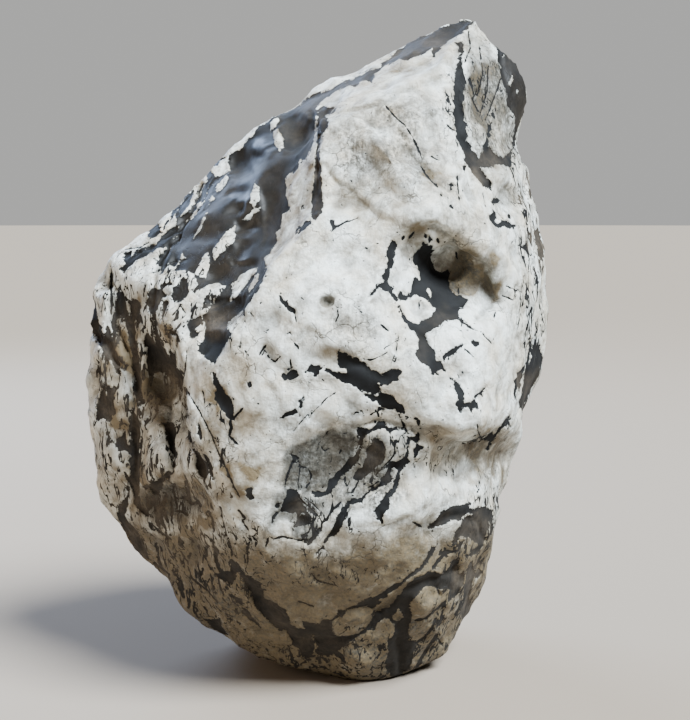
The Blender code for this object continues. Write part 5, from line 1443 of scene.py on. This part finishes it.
def hairlines_and_pits(tree, place):
    """Where hairlines run and where pits lie, from a pattern of cells bent by a noise."""
    warp = add(tree, "TexNoise", out=1, Vector=place, Scale=1 / 5.0, Detail=3.0)
    warped = add(tree, "VectorMath", {"operation": "MULTIPLY_ADD"}, _0=warp, _1=(7.0, 7.0, 7.0), _2=place)
    hair = add(tree, "TexVoronoi", {"feature": "DISTANCE_TO_EDGE"}, Vector=warped, Scale=1 / 17.0)
    some = ramp(tree, clouds(tree, place, 1 / 28.0, 2.0), 0.50, 0.62)
    hair = maths(tree, "MULTIPLY", ramp(tree, hair, 0.018, 0.004), some)
    pits = ramp(tree, add(tree, "TexVoronoi", Vector=warped, Scale=1 / 3.2), 0.16, 0.10)
    return hair, maths(tree, "MULTIPLY", pits, ramp(tree, clouds(tree, place, 1 / 9.0, 3.0), 0.54, 0.62))


print("calcite's colours:", ", ".join(CALCITE))

# %% [markdown]
# ## Mudstone, gloss and grain
# The black is a fine mudstone: near black where fresh, greyer where worn, brown under dust, and shining
# where it is smooth and clean. The calcite has a sugary grain and a waxy gloss. The finest relief is a
# bump, because it is smaller than any cell of the mesh.

# %% The colour of the mudstone, the gloss and the finest relief
MUDSTONE = {"fresh": "#030404", "worn": "#0d0e10", "dusty": "#574e42"}
MUD_ROUGH, DUST_ROUGH, SHINE_ROUGH = 0.82, 0.10, -0.46  # roughness, and what dust and shine add to it
CHALK_ROUGH, CHALK_SPREAD = 0.42, 0.30
SUGAR, CHALK = (1.1, 0.18), (4.5, 1.1)  # grain and height in mm
MUD_STEP = 0.35  # mm that the black lies lower in the bump


def mudstone_colour(tree, place, speckle, dust):
    """The colour of the black rock, and how dusty it is."""
    worn = ramp(tree, clouds(tree, place, 1 / 11.0, 7.0, 0.7), 0.35, 0.68)
    mud = tint(tree, worn, MUDSTONE["fresh"], MUDSTONE["worn"])
    dusty = maths(tree, "MULTIPLY", maths(tree, "MULTIPLY_ADD", speckle, 0.5, 0.5), dust, clamp=True)
    return tint(tree, dusty, mud, MUDSTONE["dusty"]), dusty


def gloss(tree, black, fine, dusty, shine):
    """Roughness: waxy calcite, and mudstone that shines where it is smooth."""
    mud = maths(tree, "MULTIPLY_ADD", dusty, DUST_ROUGH, MUD_ROUGH)
    mud = maths(tree, "MULTIPLY_ADD", shine, SHINE_ROUGH, mud)
    chalk = maths(tree, "MULTIPLY_ADD", fine, CHALK_SPREAD, CHALK_ROUGH)
    return add(tree, "Mix", {"data_type": "FLOAT"}, _0=black, _2=chalk, _3=mud)


def finest_relief(tree, place, masks, hair, pits):
    """Heights in mm: grain and pits on the calcite, faint ripples on the mudstone, and its step down."""
    depth, black, thin, slim = masks
    sugar = clouds(tree, place, 1 / SUGAR[0], 4.0, 0.65)
    chalk = maths(tree, "MULTIPLY", clouds(tree, place, 1 / CHALK[0], 6.0, 0.6), CHALK[1])
    chalk = maths(tree, "MULTIPLY_ADD", sugar, SUGAR[1], chalk)
    chalk = maths(tree, "MULTIPLY_ADD", pits, -0.4, chalk)
    chalk = maths(tree, "MULTIPLY_ADD", hair, -0.25, chalk)
    ripple = maths(tree, "MULTIPLY_ADD", clouds(tree, place, 1 / 9.0, 3.0, 0.4), 0.3, 0.3)
    height = add(tree, "Mix", {"data_type": "FLOAT"}, _0=black, _2=chalk, _3=ripple)
    height = maths(tree, "ADD", height, ramp(tree, depth, -0.5, 0.4, 0.0, -MUD_STEP, **SMOOTH))
    height = maths(tree, "MULTIPLY_ADD", thin, -0.3, height)
    return maths(tree, "MULTIPLY_ADD", slim, -0.2, height)


print("mudstone's colours:", ", ".join(MUDSTONE))

# %% [markdown]
# ## The finish
# One material holds both rocks, parted by the black mask. Two materials on two sets of faces would need
# the mesh to follow every edge, down to a tenth of a millimetre.

# %% Weathered calcite in mudstone
def weathered_calcite_in_mudstone():
    """Chalky white calcite with black mudstone, as broken and weathered rock."""
    material = bpy.data.materials.new("weathered calcite in mudstone")
    material.use_nodes = True
    tree = material.node_tree
    tree.nodes.clear()
    place = add(tree, "VectorMath", {"operation": "SCALE"}, _0=add(tree, "TexCoord", out=3), Scale=1.0 / MM)
    brown, grey, dust = three_of(tree, remembered(tree, "stain_and_shade", out=1))
    depth, black, fine, wander = ragged_black(tree, place, remembered(tree, "ink"))
    thin = crack_mask(tree, remembered(tree, "crack", out=1), wander)
    slim = slim_vein_mask(tree, place, remembered(tree, "veined"))
    black = maths(tree, "MAXIMUM", maths(tree, "MAXIMUM", black, thin), slim)

    blotch = clouds(tree, place, 1 / 6.0, 6.0, 0.7)
    speckle = ramp(tree, clouds(tree, place, 1 / 2.2, 6.0, 0.75), 0.40, 0.60)
    white = clouded_calcite(tree, place, remembered(tree, "clean_and_lit"), grey)
    amounts = (brown, grey, remembered(tree, "grey_field"), remembered(tree, "hollow"))
    white = stained(tree, white, blotch, speckle, amounts)
    hair, pits = hairlines_and_pits(tree, place)
    white = tint(tree, maths(tree, "MULTIPLY", hair, 0.7), white, CALCITE["dark_marks_and_shade"])
    white = tint(tree, pits, white, CALCITE["dark_marks_and_shade"])
    mud, dusty = mudstone_colour(tree, place, speckle, dust)

    relief = finest_relief(tree, place, (depth, black, thin, slim), hair, pits)
    shader = add(
        tree, "BsdfPrincipled", Base_Color=tint(tree, black, white, mud),
        Roughness=gloss(tree, black, fine, dusty, remembered(tree, "shine")),
        Normal=add(tree, "Bump", Height=relief, Distance=MM, Strength=1.0), IOR=1.49, Specular_IOR_Level=0.28)
    output = tree.nodes.new("ShaderNodeOutputMaterial")
    tree.links.new(shader, output.inputs["Surface"])
    return material


stone_mesh.materials.append(weathered_calcite_in_mudstone())
print("nodes in the finish:", len(stone_mesh.materials[0].node_tree.nodes))

# %% [markdown]
# ## Floor
# The stone stands on pale paper, as in a studio. The sheet is so wide that its edge is lost far behind.

# %% Floor
FLOOR_RADIUS = 30.0  # m, so that the floor's edge is lost in the distance
FLOOR_COLOUR, FLOOR_ROUGH, FLOOR_SPECULAR = "#8a7f72", 0.9, 0.2


def studio_floor():
    """A wide round sheet of pale paper."""
    bm = bmesh.new()
    bmesh.ops.create_circle(bm, cap_ends=True, segments=96, radius=FLOOR_RADIUS)
    floor = bpy.data.objects.new("floor", as_mesh(bm, "floor"))
    bpy.context.scene.collection.objects.link(floor)
    material = bpy.data.materials.new("pale studio paper")
    material.use_nodes = True
    shader = material.node_tree.nodes["Principled BSDF"]
    shader.inputs["Base Color"].default_value = linear(FLOOR_COLOUR)
    shader.inputs["Roughness"].default_value = FLOOR_ROUGH
    shader.inputs["Specular IOR Level"].default_value = FLOOR_SPECULAR
    floor.data.materials.append(material)


studio_floor()
print("floor radius, m:", FLOOR_RADIUS)

# %% [markdown]
# ## Light
# Three soft lights. The key comes from the upper right in front, as from a large lamp far off. A cool
# window behind on the upper left shines on the dark slope, and a weak warm light low on the left stands
# for what a wall throws back. The room itself adds little light, but looks bright behind the stone.

# %% Lights and room
AIM = Vector((0.0, 0.0, 0.17))  # m, the stone's middle
SOFT_LIGHTS = (  # name, kind, strength, size in m or angle in degrees, colour, place in m
    ("key", "SUN", 17.0, 26.0, "#ecf6ff", (0.85, -0.72, 1.62)),
    ("sky", "AREA", 50.0, 1.0, "#b9d1f7", (-0.75, 0.98, 1.15)),
    ("fill", "AREA", 14.0, 1.2, "#ffe9d2", (-1.55, -0.55, 0.55)),
)
ROOM_COLOUR = "#e6e6e4"
ROOM_LIGHT, ROOM_LOOK = 0.12, 0.60  # the room's strength as light, and as seen


def soft_light(name, kind, strength, spread, colour, place):
    """A light at a place, aimed at the stone's middle."""
    light = bpy.data.lights.new(name, kind)
    light.energy = strength
    light.color = linear(colour)[:3]
    if kind == "SUN":
        light.angle = math.radians(spread)
    else:
        light.size = spread
    lamp = bpy.data.objects.new(name, light)
    bpy.context.scene.collection.objects.link(lamp)
    lamp.location = place
    lamp.rotation_euler = (AIM - Vector(place)).to_track_quat("-Z", "Y").to_euler()


def studio_air():
    """A pale room, bright to the eye, that adds little light of its own."""
    world = bpy.data.worlds.new("studio")
    world.use_nodes = True
    tree = world.node_tree
    path = tree.nodes.new("ShaderNodeLightPath")
    strength = add(tree, "MapRange", Value=path.outputs["Is Camera Ray"], _3=ROOM_LIGHT, _4=ROOM_LOOK)
    background = tree.nodes["Background"]
    background.inputs["Color"].default_value = linear(ROOM_COLOUR)
    tree.links.new(strength, background.inputs["Strength"])
    bpy.context.scene.world = world


for light in SOFT_LIGHTS:
    soft_light(*light)
studio_air()
print("lights:", [light[0] for light in SOFT_LIGHTS])

# %% [markdown]
# ## The stone in the frame
# The stone rides on the solid's only body and stands for its only node. The boxes of both are kept.

# %% The stone rides on the solid's body and stands for it
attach(stone, "root")
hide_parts(STONE)
